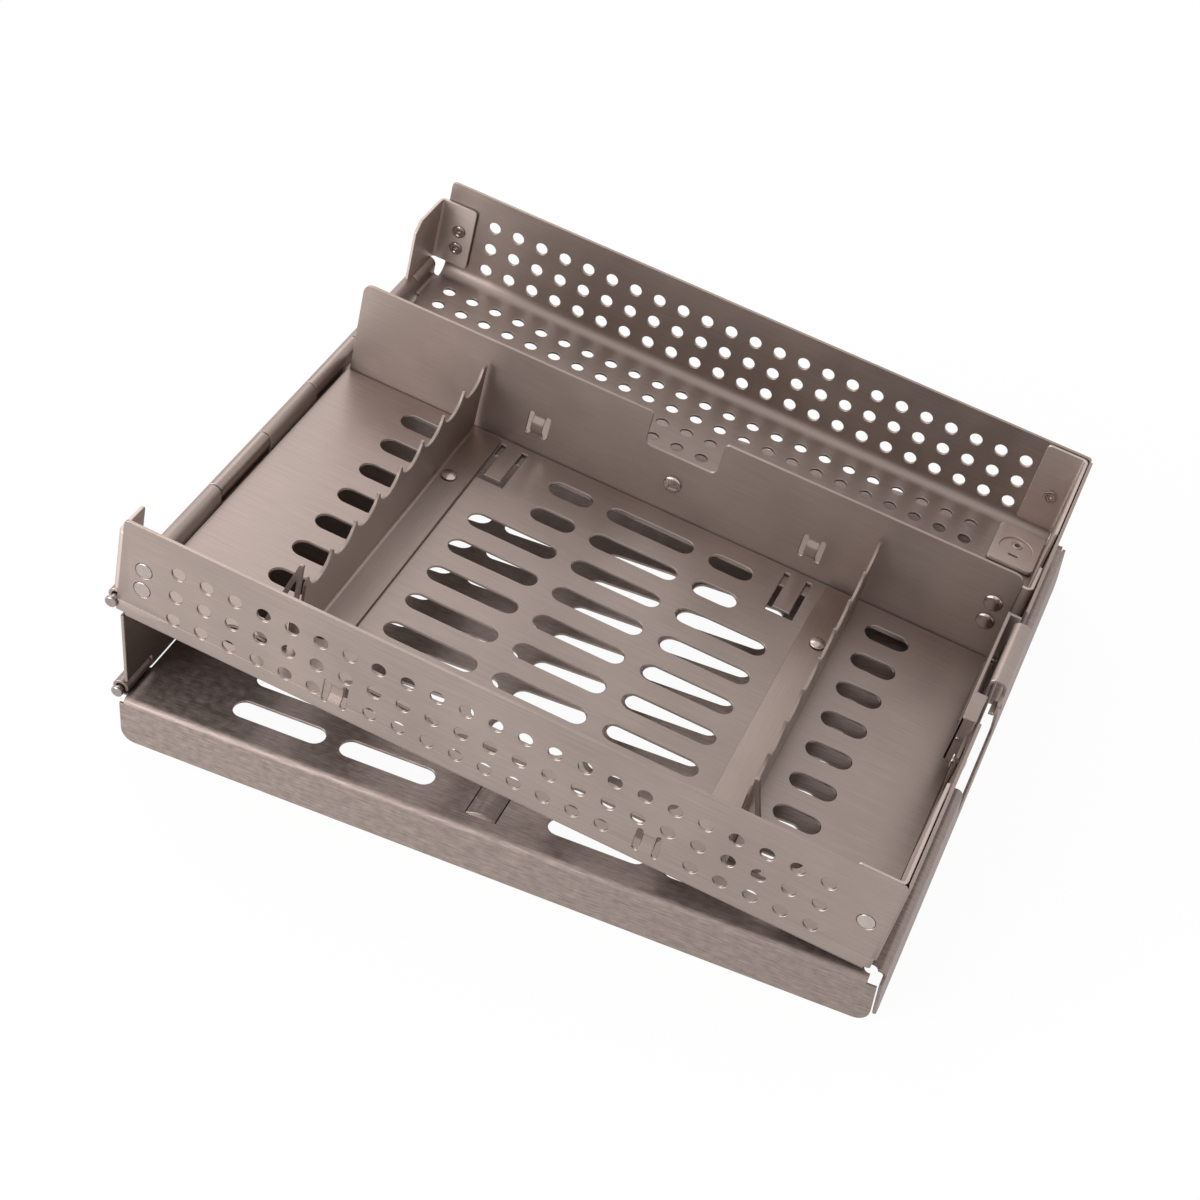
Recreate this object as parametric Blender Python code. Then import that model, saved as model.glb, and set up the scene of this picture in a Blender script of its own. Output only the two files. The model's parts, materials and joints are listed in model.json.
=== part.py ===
"""Instrument cassette of folded stainless sheet, standing open on its folded-back lid.

The lid lies flat with its lips down, the spine stands on the lid's hinge, and the perforated
tray leans from the spine's upper hinge until its latch end rests on the lid. Sizes are in
millimetres, and the meshes are made in metres.

Two frames are used. The hinge frame has its origin on the lid's hinge axis. The tray frame
has its origin at the tray's hinge-end bottom corner, x along the tray, y from its front wall.
"""

import math

import bmesh
import bpy
from mathutils import Matrix, Vector

MM = 0.001

# Sheet and fits
SHEET = 0.9
GAP = 0.3
BEND = 1.8
BEND_STEPS = 3

# Tray
TRAY_LENGTH = 210.0
TRAY_WIDTH = 187.5
TRAY_HEIGHT = 33.0
WINDOW_MARGIN = 7.0
END_MARGIN = 9.0

# Wall and floor perforations
HOLE_DIAMETER = 3.9
HOLE_PITCH = 8.0
HOLE_COLUMNS = 23
HOLE_ROWS = 3
FIRST_HOLE_X = 16.2
LOWEST_HOLE_Z = 7.1
STRIP_COLUMNS = 23
STRIP_ROWS = 5
WALL_HOLE_SIDES = 6
STRIP_HOLE_SIDES = 6
STRIP_FIRST_X = 9.2
STRIP_BACK_Y = 177.5

# Lanced clips in the walls
CLIP_X = (62.3, 148.4)
CLIP_SLOT_WIDTH = 1.6
CLIP_HALF = 2.6
CLIP_HEIGHT = 8.0
CLIP_BULGE = 1.3
CLIP_ROOT = 0.1
CLIP_RAMP = 1.6
WALL_CLIP_Z = 8.2
DIVIDER_CLIP_Z = 11.6

# Instrument bay
DIVIDER_Y = 123.2
DIVIDER_LEFT = 2.5
DIVIDER_RIGHT = 205.6
CUTOUT_LEFT = 93.8
CUTOUT_RIGHT = 115.7
CUTOUT_BOTTOM = 25.4
BAY_CENTRE_X = 104.8
SLOT_WIDTH = 6.2
SLOT_LENGTH = 26.8
SLOT_PITCH_X = 31.9
SLOT_PITCH_Y = 12.955
SLOT_ROWS = 9
SLOT_BACK_Y = 112.6
SHORT_SLOT = 13.3
OUTER_SLOT_LENGTH = 12.9
OUTER_SLOT_X = 73.1

TONGUE_X = (58.1, 148.2)
TONGUE_WIDTH = 8.2
TONGUE_LENGTH = 17.5
TONGUE_SLIT = 1.5

# Comb rails
COMB_OFFSET = 61.4
COMB_FLANGE = 10.3
COMB_TIP_Z = 26.0
COMB_DIP_Z = 20.8
COMB_FRONT = 13.9
COMB_BACK = 121.0
GUSSET_TIP_Z = 32.4
GUSSET_FOOT = 9.0

# Corner pad
PAD_X = 200.3
PAD_Y = 173.5

# Hinges
KNUCKLE_RADIUS = 2.3
PIN_RADIUS = 1.05
KNUCKLE_SWEEP = 285.0
HINGE_SHORTER = 4.5
KNUCKLE_END = 13.0
KNUCKLE_NEXT = 38.0
KNUCKLE_MIDDLE = 27.0
PIN_HEAD_RADIUS = 1.7
PIN_HEAD_HEIGHT = 0.8
TRAY_AXIS_X = -1.2
TRAY_AXIS_Z = 4.2
SPINE_MARGIN = 1.0

# Lid
LID_HEIGHT = 15.0
LID_LIP_GAP = 0.4
LID_LEFT = 2.7
LID_SLOT_LENGTH = 25.5
LID_SLOT_ROWS = 4
LID_SLOT_FRONT_Y = 9.0
LID_SLOT_LEFTS = (32.0, 63.7, 95.4, 123.2, 155.1)
LID_SHORT_SLOTS = (12.0, 187.0)
LID_SHORT_LENGTH = 13.5
LID_TONGUE_LEFT = 99.2
LID_TONGUE_RIGHT = 107.5
LID_TONGUE_FRONT = 3.8
LID_TONGUE_LENGTH = 11.2
LID_TONGUE_SLIT = 0.8
RELIEF_DIAMETER = 3.4

# Latch
LATCH_FRONT = 75.6
LATCH_WIDTH = 30.0
LATCH_FACE = 2.5
LATCH_TOP = 32.9
LATCH_PIVOT_Z = 14.0
LATCH_EYE = 1.1
LATCH_PIN_RADIUS = 0.75
HOOK_WIDTH = 5.0
HOOK_BOTTOM = 25.1
HOOK_TOP = 29.4
THUMB_BOTTOM = 24.4
NOTCH_BOTTOM = 17.5
HOUSING_BOTTOM = 5.5
HOUSING_TOP = 31.0
LEDGE_LENGTH = 10.5
LID_BAR_TOP = 5.5
LEVER_TURN = 2.2
HOOK_TURN = 1.3

# Rivets
RIVET_SHANK = 1.2
RIVET_HEAD = 2.3
RIVET_HEAD_HEIGHT = 0.8
RIVET_TAIL = 1.9
RIVET_BORE = 0.8
RIVET_SIDES = 8

# Turns that lay a turned body's axis along y, against y and down
ALONG_Y = Matrix.Rotation(-math.pi / 2, 3, "X")
AGAINST_Y = Matrix.Rotation(math.pi / 2, 3, "X")
DOWN = Matrix.Rotation(math.pi, 3, "X")
AGAINST_X = Matrix.Rotation(-math.pi / 2, 3, "Y")

# Worked out from the sizes above
DIVIDER_TOP = TRAY_HEIGHT
HINGE_LENGTH = TRAY_WIDTH - HINGE_SHORTER
KNUCKLE_ENDS = (
    0.0, KNUCKLE_END, KNUCKLE_END + KNUCKLE_NEXT, (HINGE_LENGTH - KNUCKLE_MIDDLE) / 2,
    (HINGE_LENGTH + KNUCKLE_MIDDLE) / 2, HINGE_LENGTH - KNUCKLE_END - KNUCKLE_NEXT,
    HINGE_LENGTH - KNUCKLE_END, HINGE_LENGTH,
)
SPINE_FRONT = SPINE_MARGIN
SPINE_BACK = HINGE_LENGTH - SPINE_MARGIN
KNUCKLE_BORE = KNUCKLE_RADIUS - SHEET
FLOOR_LEFT = TRAY_AXIS_X + KNUCKLE_BORE + BEND + 0.6
INSERT_BOTTOM = SHEET + GAP
INSERT_TOP = INSERT_BOTTOM + SHEET
COMB_BOTTOM = INSERT_TOP + GAP
LID_AXIS_Z = LID_HEIGHT + KNUCKLE_BORE
LID_INNER_FRONT = -LID_LIP_GAP
LID_FRONT = LID_INNER_FRONT - SHEET
LID_BACK = TRAY_WIDTH - LID_FRONT
LID_RIGHT = TRAY_LENGTH - TRAY_AXIS_X + LID_LIP_GAP + SHEET
AXIS_DISTANCE = TRAY_HEIGHT + GAP + SHEET + KNUCKLE_BORE - TRAY_AXIS_Z
LATCH_LEG_X = TRAY_LENGTH - LATCH_FACE
LATCH_PIVOT_X = LATCH_LEG_X - LATCH_EYE
LATCH_OUTER_X = LID_RIGHT + TRAY_AXIS_X + 0.4 + SHEET
LATCH_BACK = LATCH_FRONT + LATCH_WIDTH
NOTCH_FRONT = LATCH_FRONT - 12.6
NOTCH_BACK = LATCH_BACK + 5.4


def tray_tilt():
    """Angle at which the tray's latch end stands one gap above the lid."""
    reach = TRAY_LENGTH - TRAY_AXIS_X
    drop = AXIS_DISTANCE + KNUCKLE_BORE - GAP
    return math.asin(drop / math.hypot(reach, TRAY_AXIS_Z)) - math.atan2(TRAY_AXIS_Z, reach)


# Outlines: lists of (u, v) points


def arc(centre_u, centre_v, radius, start, end, steps):
    """Points along an arc, angles in degrees."""
    angles = [math.radians(start + (end - start) * step / steps) for step in range(steps + 1)]
    return [(centre_u + radius * math.cos(a), centre_v + radius * math.sin(a)) for a in angles]


def circle(centre_u, centre_v, radius, sides):
    """A polygon of the circle's area, with a flat side downwards."""
    outer = radius * math.sqrt(2 * math.pi / (sides * math.sin(2 * math.pi / sides)))
    turn = 180.0 / sides
    return arc(centre_u, centre_v, outer, turn - 90, turn + 270 - 360.0 / sides, sides - 1)


def box(left, right, bottom, top):
    return [(left, bottom), (right, bottom), (right, top), (left, top)]


def slot(left, right, centre_v, width, steps=4):
    """A slot with round ends along u."""
    radius = width / 2
    return arc(right - radius, centre_v, radius, -90, 90, steps) + arc(
        left + radius, centre_v, radius, 90, 270, steps
    )


def rounded(corners, steps=3):
    """Turns (u, v, radius) corners into an outline with arcs."""
    points = []
    for index, (u, v, radius) in enumerate(corners):
        if not radius:
            points.append((u, v))
            continue
        here = Vector((u, v))
        before = (Vector(corners[index - 1][:2]) - here).normalized()
        after = (Vector(corners[(index + 1) % len(corners)][:2]) - here).normalized()
        half = before.angle(after) / 2
        centre = here + (before + after).normalized() * radius / math.sin(half)
        start = here + before * radius / math.tan(half) - centre
        end = here + after * radius / math.tan(half) - centre
        turn = start.angle_signed(end)
        for step in range(steps + 1):
            spoke = Matrix.Rotation(-turn * step / steps, 2) @ start
            points.append(tuple(centre + spoke))
    return points


# Solids


def place(point, across):
    """Puts an outline's (u, v) and its depth into x, y, z. The axis across is the depth's."""
    u, v, depth = point
    return {"X": (depth, u, v), "Y": (u, depth, v), "Z": (u, v, depth)}[across]


def add_prism(mesh, outline, across, start, end):
    """Adds the outline, drawn out along one axis from start to end."""
    rings = []
    for depth in (start, end):
        ring = [mesh.verts.new(Vector(place((u, v, depth), across)) * MM) for u, v in outline]
        rings.append(ring)
    mesh.faces.new(rings[0])
    mesh.faces.new(rings[1])
    for index in range(len(outline)):
        after = (index + 1) % len(outline)
        mesh.faces.new((rings[0][index], rings[0][after], rings[1][after], rings[1][index]))


def add_turned(mesh, profile, sides, spot=(0, 0, 0), turn=Matrix.Identity(3)):
    """Adds a body turned about z from (radius, z) points that start and end on the axis."""
    rings = []
    for radius, z in profile:
        rim = circle(0, 0, radius, sides) if radius else [(0, 0)]
        places = [Vector(spot) + turn @ Vector((x, y, z)) for x, y in rim]
        rings.append([mesh.verts.new(place * MM) for place in places])
    for lower, upper in zip(rings, rings[1:]):
        for index in range(sides):
            after = (index + 1) % sides
            if len(lower) == 1:
                mesh.faces.new((lower[0], upper[after], upper[index]))
            elif len(upper) == 1:
                mesh.faces.new((lower[index], lower[after], upper[0]))
            else:
                mesh.faces.new((lower[index], lower[after], upper[after], upper[index]))


class Sheet:
    """A folded sheet drawn as its skin. The thickness goes on the side away from the skin."""

    def __init__(self):
        self.mesh = bmesh.new()
        self.corners = {}

    def corner(self, point):
        key = tuple(round(value, 3) for value in point)
        if key not in self.corners:
            self.corners[key] = self.mesh.verts.new(Vector(point) * MM)
        return self.corners[key]

    def face(self, points):
        self.mesh.faces.new([self.corner(point) for point in points])

    def fold(self, start, end, steps):
        """Grows the edge start-end through steps, each an offset from where the edge began."""
        near = (start, end)
        for step in steps:
            far = tuple(tuple(a + b for a, b in zip(point, step)) for point in (start, end))
            self.face([near[0], near[1], far[1], far[0]])
            near = far

    def finish(self, name, outward):
        """An object whose first face looks along outward, thickened away from it."""
        bmesh.ops.recalc_face_normals(self.mesh, faces=self.mesh.faces)
        self.mesh.faces.ensure_lookup_table()
        if self.mesh.faces[0].normal.dot(Vector(outward)) < 0:
            bmesh.ops.reverse_faces(self.mesh, faces=self.mesh.faces)
        obj = new_object(name, self.mesh)
        thickness = obj.modifiers.new("sheet", "SOLIDIFY")
        thickness.thickness = SHEET * MM
        thickness.offset = -1
        thickness.use_even_offset = True
        thickness.use_quality_normals = True
        return obj


def bend_steps(radius, first, second):
    """Offsets of a quarter bend that leaves along first and arrives along second."""
    steps = []
    for step in range(1, BEND_STEPS + 1):
        angle = math.pi / 2 * step / BEND_STEPS
        along, across = radius * math.sin(angle), radius * (1 - math.cos(angle))
        steps.append(tuple(a * along + b * across for a, b in zip(first, second)))
    return steps


def knuckle_steps(from_centre, start, sweep, steps=9):
    """Offsets that curl an edge round a hinge axis, from its own place beside the axis."""
    u, v = from_centre
    curl = arc(-u, -v, KNUCKLE_BORE, start, start + sweep, steps)
    return [(x, 0, z) for x, z in curl[1:]]


def new_object(name, mesh):
    data = bpy.data.meshes.new(name)
    mesh.to_mesh(data)
    mesh.free()
    obj = bpy.data.objects.new(name, data)
    bpy.context.scene.collection.objects.link(obj)
    return obj


def solid(name, prisms):
    """An object made of one or more separate prisms: (outline, across, start, end)."""
    mesh = bmesh.new()
    for outline, across, start, end in prisms:
        add_prism(mesh, outline, across, start, end)
    bmesh.ops.recalc_face_normals(mesh, faces=mesh.faces)
    return new_object(name, mesh)


def combine(obj, operation, helper):
    """Cuts the helper from the object, or joins it to the object."""
    helper.hide_render = True
    helper.display_type = "WIRE"
    helper.parent = obj
    boolean = obj.modifiers.new(helper.name, "BOOLEAN")
    boolean.operation = operation
    boolean.object = helper
    boolean.solver = "EXACT"


def cut(obj, prisms, name="cutter"):
    combine(obj, "DIFFERENCE", solid(f"{obj.name}_{name}", prisms))


def join(obj, prisms, name):
    combine(obj, "UNION", solid(f"{obj.name}_{name}", prisms))


def steel(name, colour, roughness):
    material = bpy.data.materials.new(name)
    material.use_nodes = True
    shader = material.node_tree.nodes["Principled BSDF"]
    shader.inputs["Base Color"].default_value = (*colour, 1)
    shader.inputs["Metallic"].default_value = 1.0
    shader.inputs["Roughness"].default_value = roughness
    return material


def dress(obj, parent, colour=(0.56, 0.51, 0.49), roughness=0.34):
    """Gives the piece its parent, its own material and smooth round faces."""
    obj.parent = parent
    obj.data.materials.append(steel(obj.name, colour, roughness))
    obj.data.shade_smooth()
    obj.data.set_sharp_from_angle(angle=math.radians(35))
    return obj


def axis_empty(name, parent, location, tilt=0.0):
    empty = bpy.data.objects.new(name, None)
    empty.empty_display_size = 0.01
    empty.parent = parent
    empty.location = Vector(location) * MM
    empty.rotation_euler = (0, tilt, 0)
    bpy.context.scene.collection.objects.link(empty)
    return empty


# Hinge knuckles


def knuckle_spans(first):
    """(start, end) of every second knuckle, with half a gap at each end."""
    spans = []
    for index in range(first, len(KNUCKLE_ENDS) - 1, 2):
        start = max(KNUCKLE_ENDS[index], SHEET) + GAP / 2
        spans.append((start, KNUCKLE_ENDS[index + 1] - GAP / 2))
    return spans


OUTER_SPANS = knuckle_spans(0)
SPINE_SPANS = knuckle_spans(1)


def span_points(spans):
    return [y for span in spans for y in span]


# Tray


def wall_holes():
    """(x, z, depth) of the walls' holes. Clips take the place of those beside them in front."""
    holes = []
    clear = CLIP_HALF + (CLIP_SLOT_WIDTH + HOLE_DIAMETER) / 2
    for row in range(HOLE_ROWS):
        for column in range(HOLE_COLUMNS):
            x = FIRST_HOLE_X + column * HOLE_PITCH
            beside_clip = row == 0 and any(abs(x - clip) < clear for clip in CLIP_X)
            start = TRAY_WIDTH - 2 if beside_clip else -2
            holes.append((x, LOWEST_HOLE_Z + row * HOLE_PITCH, start))
    return holes


def clip_cuts(start, end, centre_z):
    """Openings of the clips, cut through y: two upright slots and the strip between them."""
    low, high = (centre_z + side * (CLIP_HEIGHT - CLIP_SLOT_WIDTH) / 2 for side in (-1, 1))
    radius = CLIP_SLOT_WIDTH / 2
    cuts = []
    for clip in CLIP_X:
        left, right = clip - CLIP_HALF, clip + CLIP_HALF
        outline = arc(left, low, radius, 180, 360, 3) + arc(right, low, radius, 180, 360, 3)
        outline += arc(right, high, radius, 0, 180, 3) + arc(left, high, radius, 0, 180, 3)
        cuts.append((outline, "Y", start, end))
    return cuts


def clip_bridges(outer, way, centre_z):
    """Strips across the clips' openings, pressed out of their wall along y."""
    high = (CLIP_HEIGHT - CLIP_SLOT_WIDTH) / 2
    skin = [(CLIP_ROOT, high + GAP), (CLIP_ROOT, high), (CLIP_BULGE, high - CLIP_RAMP),
            (CLIP_BULGE, CLIP_RAMP - high), (CLIP_ROOT, -high), (CLIP_ROOT, -high - GAP)]
    skin += [(depth + SHEET - 2 * CLIP_ROOT, z) for depth, z in reversed(skin)]
    profile = [(outer + way * depth, centre_z + z) for depth, z in skin]
    half = CLIP_HALF - CLIP_SLOT_WIDTH / 2
    return [(profile, "X", clip - half, clip + half) for clip in CLIP_X]


WALL_RIVETS = {
    "front_left_upper": (6.7, 18.9),
    "front_left_lower": (6.7, 12.4),
    "front_right": (TRAY_LENGTH - 6.2, 16.7),
}
BACK_RIVETS = {
    "back_left_upper": (5.5, 17.6),
    "back_left_lower": (5.5, 11.4),
    "back_right": (TRAY_LENGTH - 7.0, 15.8),
}
SIDE_BRACKET_RIVETS = {
    "divider_right_upper": (TRAY_LENGTH - 9.6, 20.8),
    "divider_right_lower": (TRAY_LENGTH - 9.6, 13.8),
}
FOOT_BRACKET_RIVET = (BAY_CENTRE_X, 12.3)
COMB_RIVET_Y = {"back": 97.0, "front": 22.0}
COMB_RIVET_X = 56.9
LATCH_RIVET_Y = {"front": LATCH_FRONT - 6.1, "back": LATCH_BACK + 9.2}
LATCH_RIVET_Z = 11.0


def add_countersinks(mesh, places, face, turn):
    """Adds cones that cut the seats of a side wall's flush rivets, with a gap all round."""
    side = RIVET_HEAD - RIVET_SHANK
    spread = GAP * math.hypot(side, SHEET) / SHEET
    profile = [(0, -SHEET), (RIVET_HEAD + side + spread, -SHEET), (RIVET_SHANK + spread, SHEET),
               (RIVET_SHANK + spread, 2 * SHEET), (0, 2 * SHEET)]
    for x, z in places:
        add_turned(mesh, profile, RIVET_SIDES, (x, face, z), turn)


def tray_shell(parent):
    """Perforated walls, framed floor, latch end wall and hinge knuckles, folded from one sheet."""
    right = TRAY_LENGTH - BEND
    front, back = BEND, TRAY_WIDTH - BEND
    relief_x, relief_y = right - 3.0, 6.0
    end_front, end_back = SHEET + GAP, TRAY_WIDTH - SHEET - GAP
    wall_right = TRAY_LENGTH - GAP
    tabs = span_points(OUTER_SPANS)

    sheet = Sheet()
    floor = [(FLOOR_LEFT, front), (relief_x, front), (relief_x, relief_y), (right, relief_y),
             (right, TRAY_WIDTH - relief_y), (relief_x, TRAY_WIDTH - relief_y),
             (relief_x, back), (FLOOR_LEFT, back)]
    floor += [(FLOOR_LEFT, y) for y in reversed(tabs) if y > front]
    sheet.face([(x, y, 0) for x, y in floor])

    for y, outward in ((front, -1), (back, 1)):
        near, far = (FLOOR_LEFT, y, 0), (relief_x, y, 0)
        sheet.fold(near, far, bend_steps(BEND, (0, outward, 0), (0, 0, 1)))
        face_y = y + outward * BEND
        wall = rounded([(FLOOR_LEFT, BEND, 0), (0, BEND, 0), (0, TRAY_HEIGHT, 1.5),
                        (wall_right, TRAY_HEIGHT, 1.0), (wall_right, BEND, 0),
                        (relief_x, BEND, 0)])
        sheet.face([(x, face_y, z) for x, z in wall])

    near, far = (right, relief_y, 0), (right, TRAY_WIDTH - relief_y, 0)
    sheet.fold(near, far, bend_steps(BEND, (1, 0, 0), (0, 0, 1)))
    end_wall = rounded([(end_front, BEND + 0.6, 0), (relief_y, BEND, 0),
                        (TRAY_WIDTH - relief_y, BEND, 0), (end_back, BEND + 0.6, 0),
                        (end_back, TRAY_HEIGHT, 1.5), (NOTCH_BACK, TRAY_HEIGHT, 1.0),
                        (NOTCH_BACK, NOTCH_BOTTOM, 2.0), (NOTCH_FRONT, NOTCH_BOTTOM, 2.0),
                        (NOTCH_FRONT, TRAY_HEIGHT, 1.0), (end_front, TRAY_HEIGHT, 1.5)])
    sheet.face([(TRAY_LENGTH, y, z) for y, z in end_wall])

    start_x = TRAY_AXIS_X + KNUCKLE_BORE + BEND
    for start, end in OUTER_SPANS:
        start = max(start, front)
        near, far = (FLOOR_LEFT, start, 0), (FLOOR_LEFT, end, 0)
        lead = (start_x - FLOOR_LEFT, 0, 0)
        rise = [tuple(a + b for a, b in zip(lead, step))
                for step in bend_steps(BEND, (-1, 0, 0), (0, 0, 1))]
        side = (lead[0] - BEND, 0, TRAY_AXIS_Z)
        curl = [tuple(a + b for a, b in zip(side, step))
                for step in knuckle_steps((KNUCKLE_BORE, 0), 0, KNUCKLE_SWEEP)]
        sheet.fold(near, far, [lead] + rise + [side] + curl)

    shell = sheet.finish("tray_shell", (0, 0, -1))
    cut(shell, clip_cuts(-2, 3, WALL_CLIP_Z), "clip_openings")
    join(shell, clip_bridges(0, 1, WALL_CLIP_Z), "clips")
    cuts = [(circle(x, z, HOLE_DIAMETER / 2, WALL_HOLE_SIDES), "Y", start, TRAY_WIDTH + 2)
            for x, z, start in wall_holes()]
    for row in range(STRIP_ROWS):
        for column in range(STRIP_COLUMNS):
            x, y = STRIP_FIRST_X + column * HOLE_PITCH, STRIP_BACK_Y - row * HOLE_PITCH
            cuts.append((circle(x, y, HOLE_DIAMETER / 2, STRIP_HOLE_SIDES), "Z", -1, SHEET + 0.5))
    window = rounded([(END_MARGIN, WINDOW_MARGIN, 3), (TRAY_LENGTH - END_MARGIN, WINDOW_MARGIN, 3),
                      (TRAY_LENGTH - END_MARGIN, DIVIDER_Y - WINDOW_MARGIN, 3),
                      (END_MARGIN, DIVIDER_Y - WINDOW_MARGIN, 3)])
    cuts.append((window, "Z", -1, SHEET + 0.5))
    clearance = RIVET_SHANK + GAP
    cuts += [(circle(y, LATCH_RIVET_Z, clearance, 8), "X", TRAY_LENGTH - 2, TRAY_LENGTH + 2)
             for y in LATCH_RIVET_Y.values()]
    cutter = bmesh.new()
    for prism in cuts:
        add_prism(cutter, *prism)
    add_countersinks(cutter, WALL_RIVETS.values(), 0, ALONG_Y)
    add_countersinks(cutter, BACK_RIVETS.values(), TRAY_WIDTH, AGAINST_Y)
    bmesh.ops.recalc_face_normals(cutter, faces=cutter.faces)
    combine(shell, "DIFFERENCE", new_object("tray_shell_cutter", cutter))
    return dress(shell, parent)


def slot_rows():
    """(left, right, y) of every slot in the instrument floor."""
    slots = []
    for row in range(SLOT_ROWS):
        y = SLOT_BACK_Y - row * SLOT_PITCH_Y
        for column in (-1, 0, 1):
            centre = BAY_CENTRE_X + column * SLOT_PITCH_X
            left, right = centre - SLOT_LENGTH / 2, centre + SLOT_LENGTH / 2
            if row < 2 and column == -1:
                left = right - SHORT_SLOT
            if row < 2 and column == 1:
                right = left + SHORT_SLOT
            slots.append((left, right, y))
        for side in (-OUTER_SLOT_X, OUTER_SLOT_X):
            centre = BAY_CENTRE_X + side
            slots.append((centre - OUTER_SLOT_LENGTH / 2, centre + OUTER_SLOT_LENGTH / 2, y))
    return slots


def insert_floor(parent):
    """Flat slotted floor of the instrument bay, with two sprung tongues beside the divider."""
    left, right = FLOOR_LEFT - 0.6, TRAY_LENGTH - BEND - GAP
    front, back = BEND + GAP, DIVIDER_Y - GAP
    outline = rounded([(left, front, 1.5), (right, front, 1.5), (right, back, 1), (left, back, 1)])
    floor = solid("insert_floor", [(outline, "Z", INSERT_BOTTOM, INSERT_TOP)])
    low, high = INSERT_BOTTOM - 1, INSERT_TOP + 1
    cuts = [(slot(a, b, y, SLOT_WIDTH), "Z", low, high) for a, b, y in slot_rows()]
    tongue_back = back - 2.5
    for centre in TONGUE_X:
        a, b = centre - TONGUE_WIDTH / 2, centre + TONGUE_WIDTH / 2
        c = tongue_back - TONGUE_LENGTH
        slit = TONGUE_SLIT
        tongue = [(a, tongue_back), (a, c), (b, c), (b, tongue_back), (b - slit, tongue_back),
                  (b - slit, c + slit), (a + slit, c + slit), (a + slit, tongue_back)]
        cuts.append((tongue, "Z", low, high))
    for side in (-1, 1):
        cuts += [(circle(comb_rivet_x(side), y, RIVET_SHANK + GAP, 8), "Z", low, high)
                 for y in COMB_RIVET_Y.values()]
    cut(floor, cuts)
    return dress(floor, parent, (0.60, 0.55, 0.53), 0.30)


def comb_rivet_x(side):
    return BAY_CENTRE_X + side * COMB_RIVET_X


def divider_wall(parent):
    """Upright wall behind the instrument bay, with a finger cut-out and two lanced clips."""
    outline = rounded([(DIVIDER_LEFT, INSERT_BOTTOM, 1), (DIVIDER_RIGHT, INSERT_BOTTOM, 1),
                       (DIVIDER_RIGHT, DIVIDER_TOP, 3), (CUTOUT_RIGHT, DIVIDER_TOP, 1.5),
                       (CUTOUT_RIGHT, CUTOUT_BOTTOM, 2), (CUTOUT_LEFT, CUTOUT_BOTTOM, 2),
                       (CUTOUT_LEFT, DIVIDER_TOP, 1.5), (DIVIDER_LEFT, DIVIDER_TOP, 3)])
    wall = solid("divider_wall", [(outline, "Y", DIVIDER_Y, DIVIDER_Y + SHEET)])
    cuts = clip_cuts(DIVIDER_Y - 1, DIVIDER_Y + 2, DIVIDER_CLIP_Z)
    cuts += [(circle(x, z, RIVET_SHANK + GAP, 8), "Y", DIVIDER_Y - 1, DIVIDER_Y + 2)
             for x, z in (*SIDE_BRACKET_RIVETS.values(), FOOT_BRACKET_RIVET)]
    cut(wall, cuts)
    join(wall, clip_bridges(DIVIDER_Y + SHEET, -1, DIVIDER_CLIP_Z), "clips")
    return dress(wall, parent)


def angle_outline(corner, first, second, reach_first, reach_second):
    """An L-shaped strip round an outer corner, with legs along two unit directions."""
    inner = BEND - SHEET
    corner, first, second = Vector(corner), Vector(first), Vector(second)
    centre = corner + (first + second) * BEND
    outer_arc, inner_arc = [], []
    for step in range(BEND_STEPS + 1):
        angle = math.pi / 2 * step / BEND_STEPS
        spoke = -first * math.cos(angle) - second * math.sin(angle)
        outer_arc.append(tuple(centre + spoke * BEND))
        inner_arc.append(tuple(centre + spoke * inner))
    ends_second = [corner + second * reach_second, corner + second * reach_second + first * SHEET]
    ends_first = [corner + first * reach_first + second * SHEET, corner + first * reach_first]
    return ([tuple(p) for p in ends_second] + inner_arc + [tuple(p) for p in ends_first]
            + outer_arc[::-1])


def divider_brackets(parent):
    """Two angles behind the divider: one to the latch end wall, one to the tray floor."""
    behind = DIVIDER_Y + SHEET + GAP
    wall = TRAY_LENGTH - SHEET - GAP
    plan = angle_outline((wall, behind), (-1, 0), (0, 1), 12.0, 12.0)
    side = solid("divider_side_bracket", [(plan, "Z", 6, 29)])
    cut(side, [(circle(x, z, RIVET_SHANK + GAP, 8), "Y", behind - 1, behind + 1.5)
               for x, z in SIDE_BRACKET_RIVETS.values()])
    section = angle_outline((behind, INSERT_BOTTOM), (1, 0), (0, 1), 10.0, 15.5)
    foot = solid("divider_foot_bracket",
                 [(section, "X", BAY_CENTRE_X - 8, BAY_CENTRE_X + 8)])
    x, z = FOOT_BRACKET_RIVET
    cut(foot, [(circle(x, z, RIVET_SHANK + GAP, 8), "Y", behind - 1, behind + 1.5)])
    return dress(side, parent), dress(foot, parent)


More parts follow.
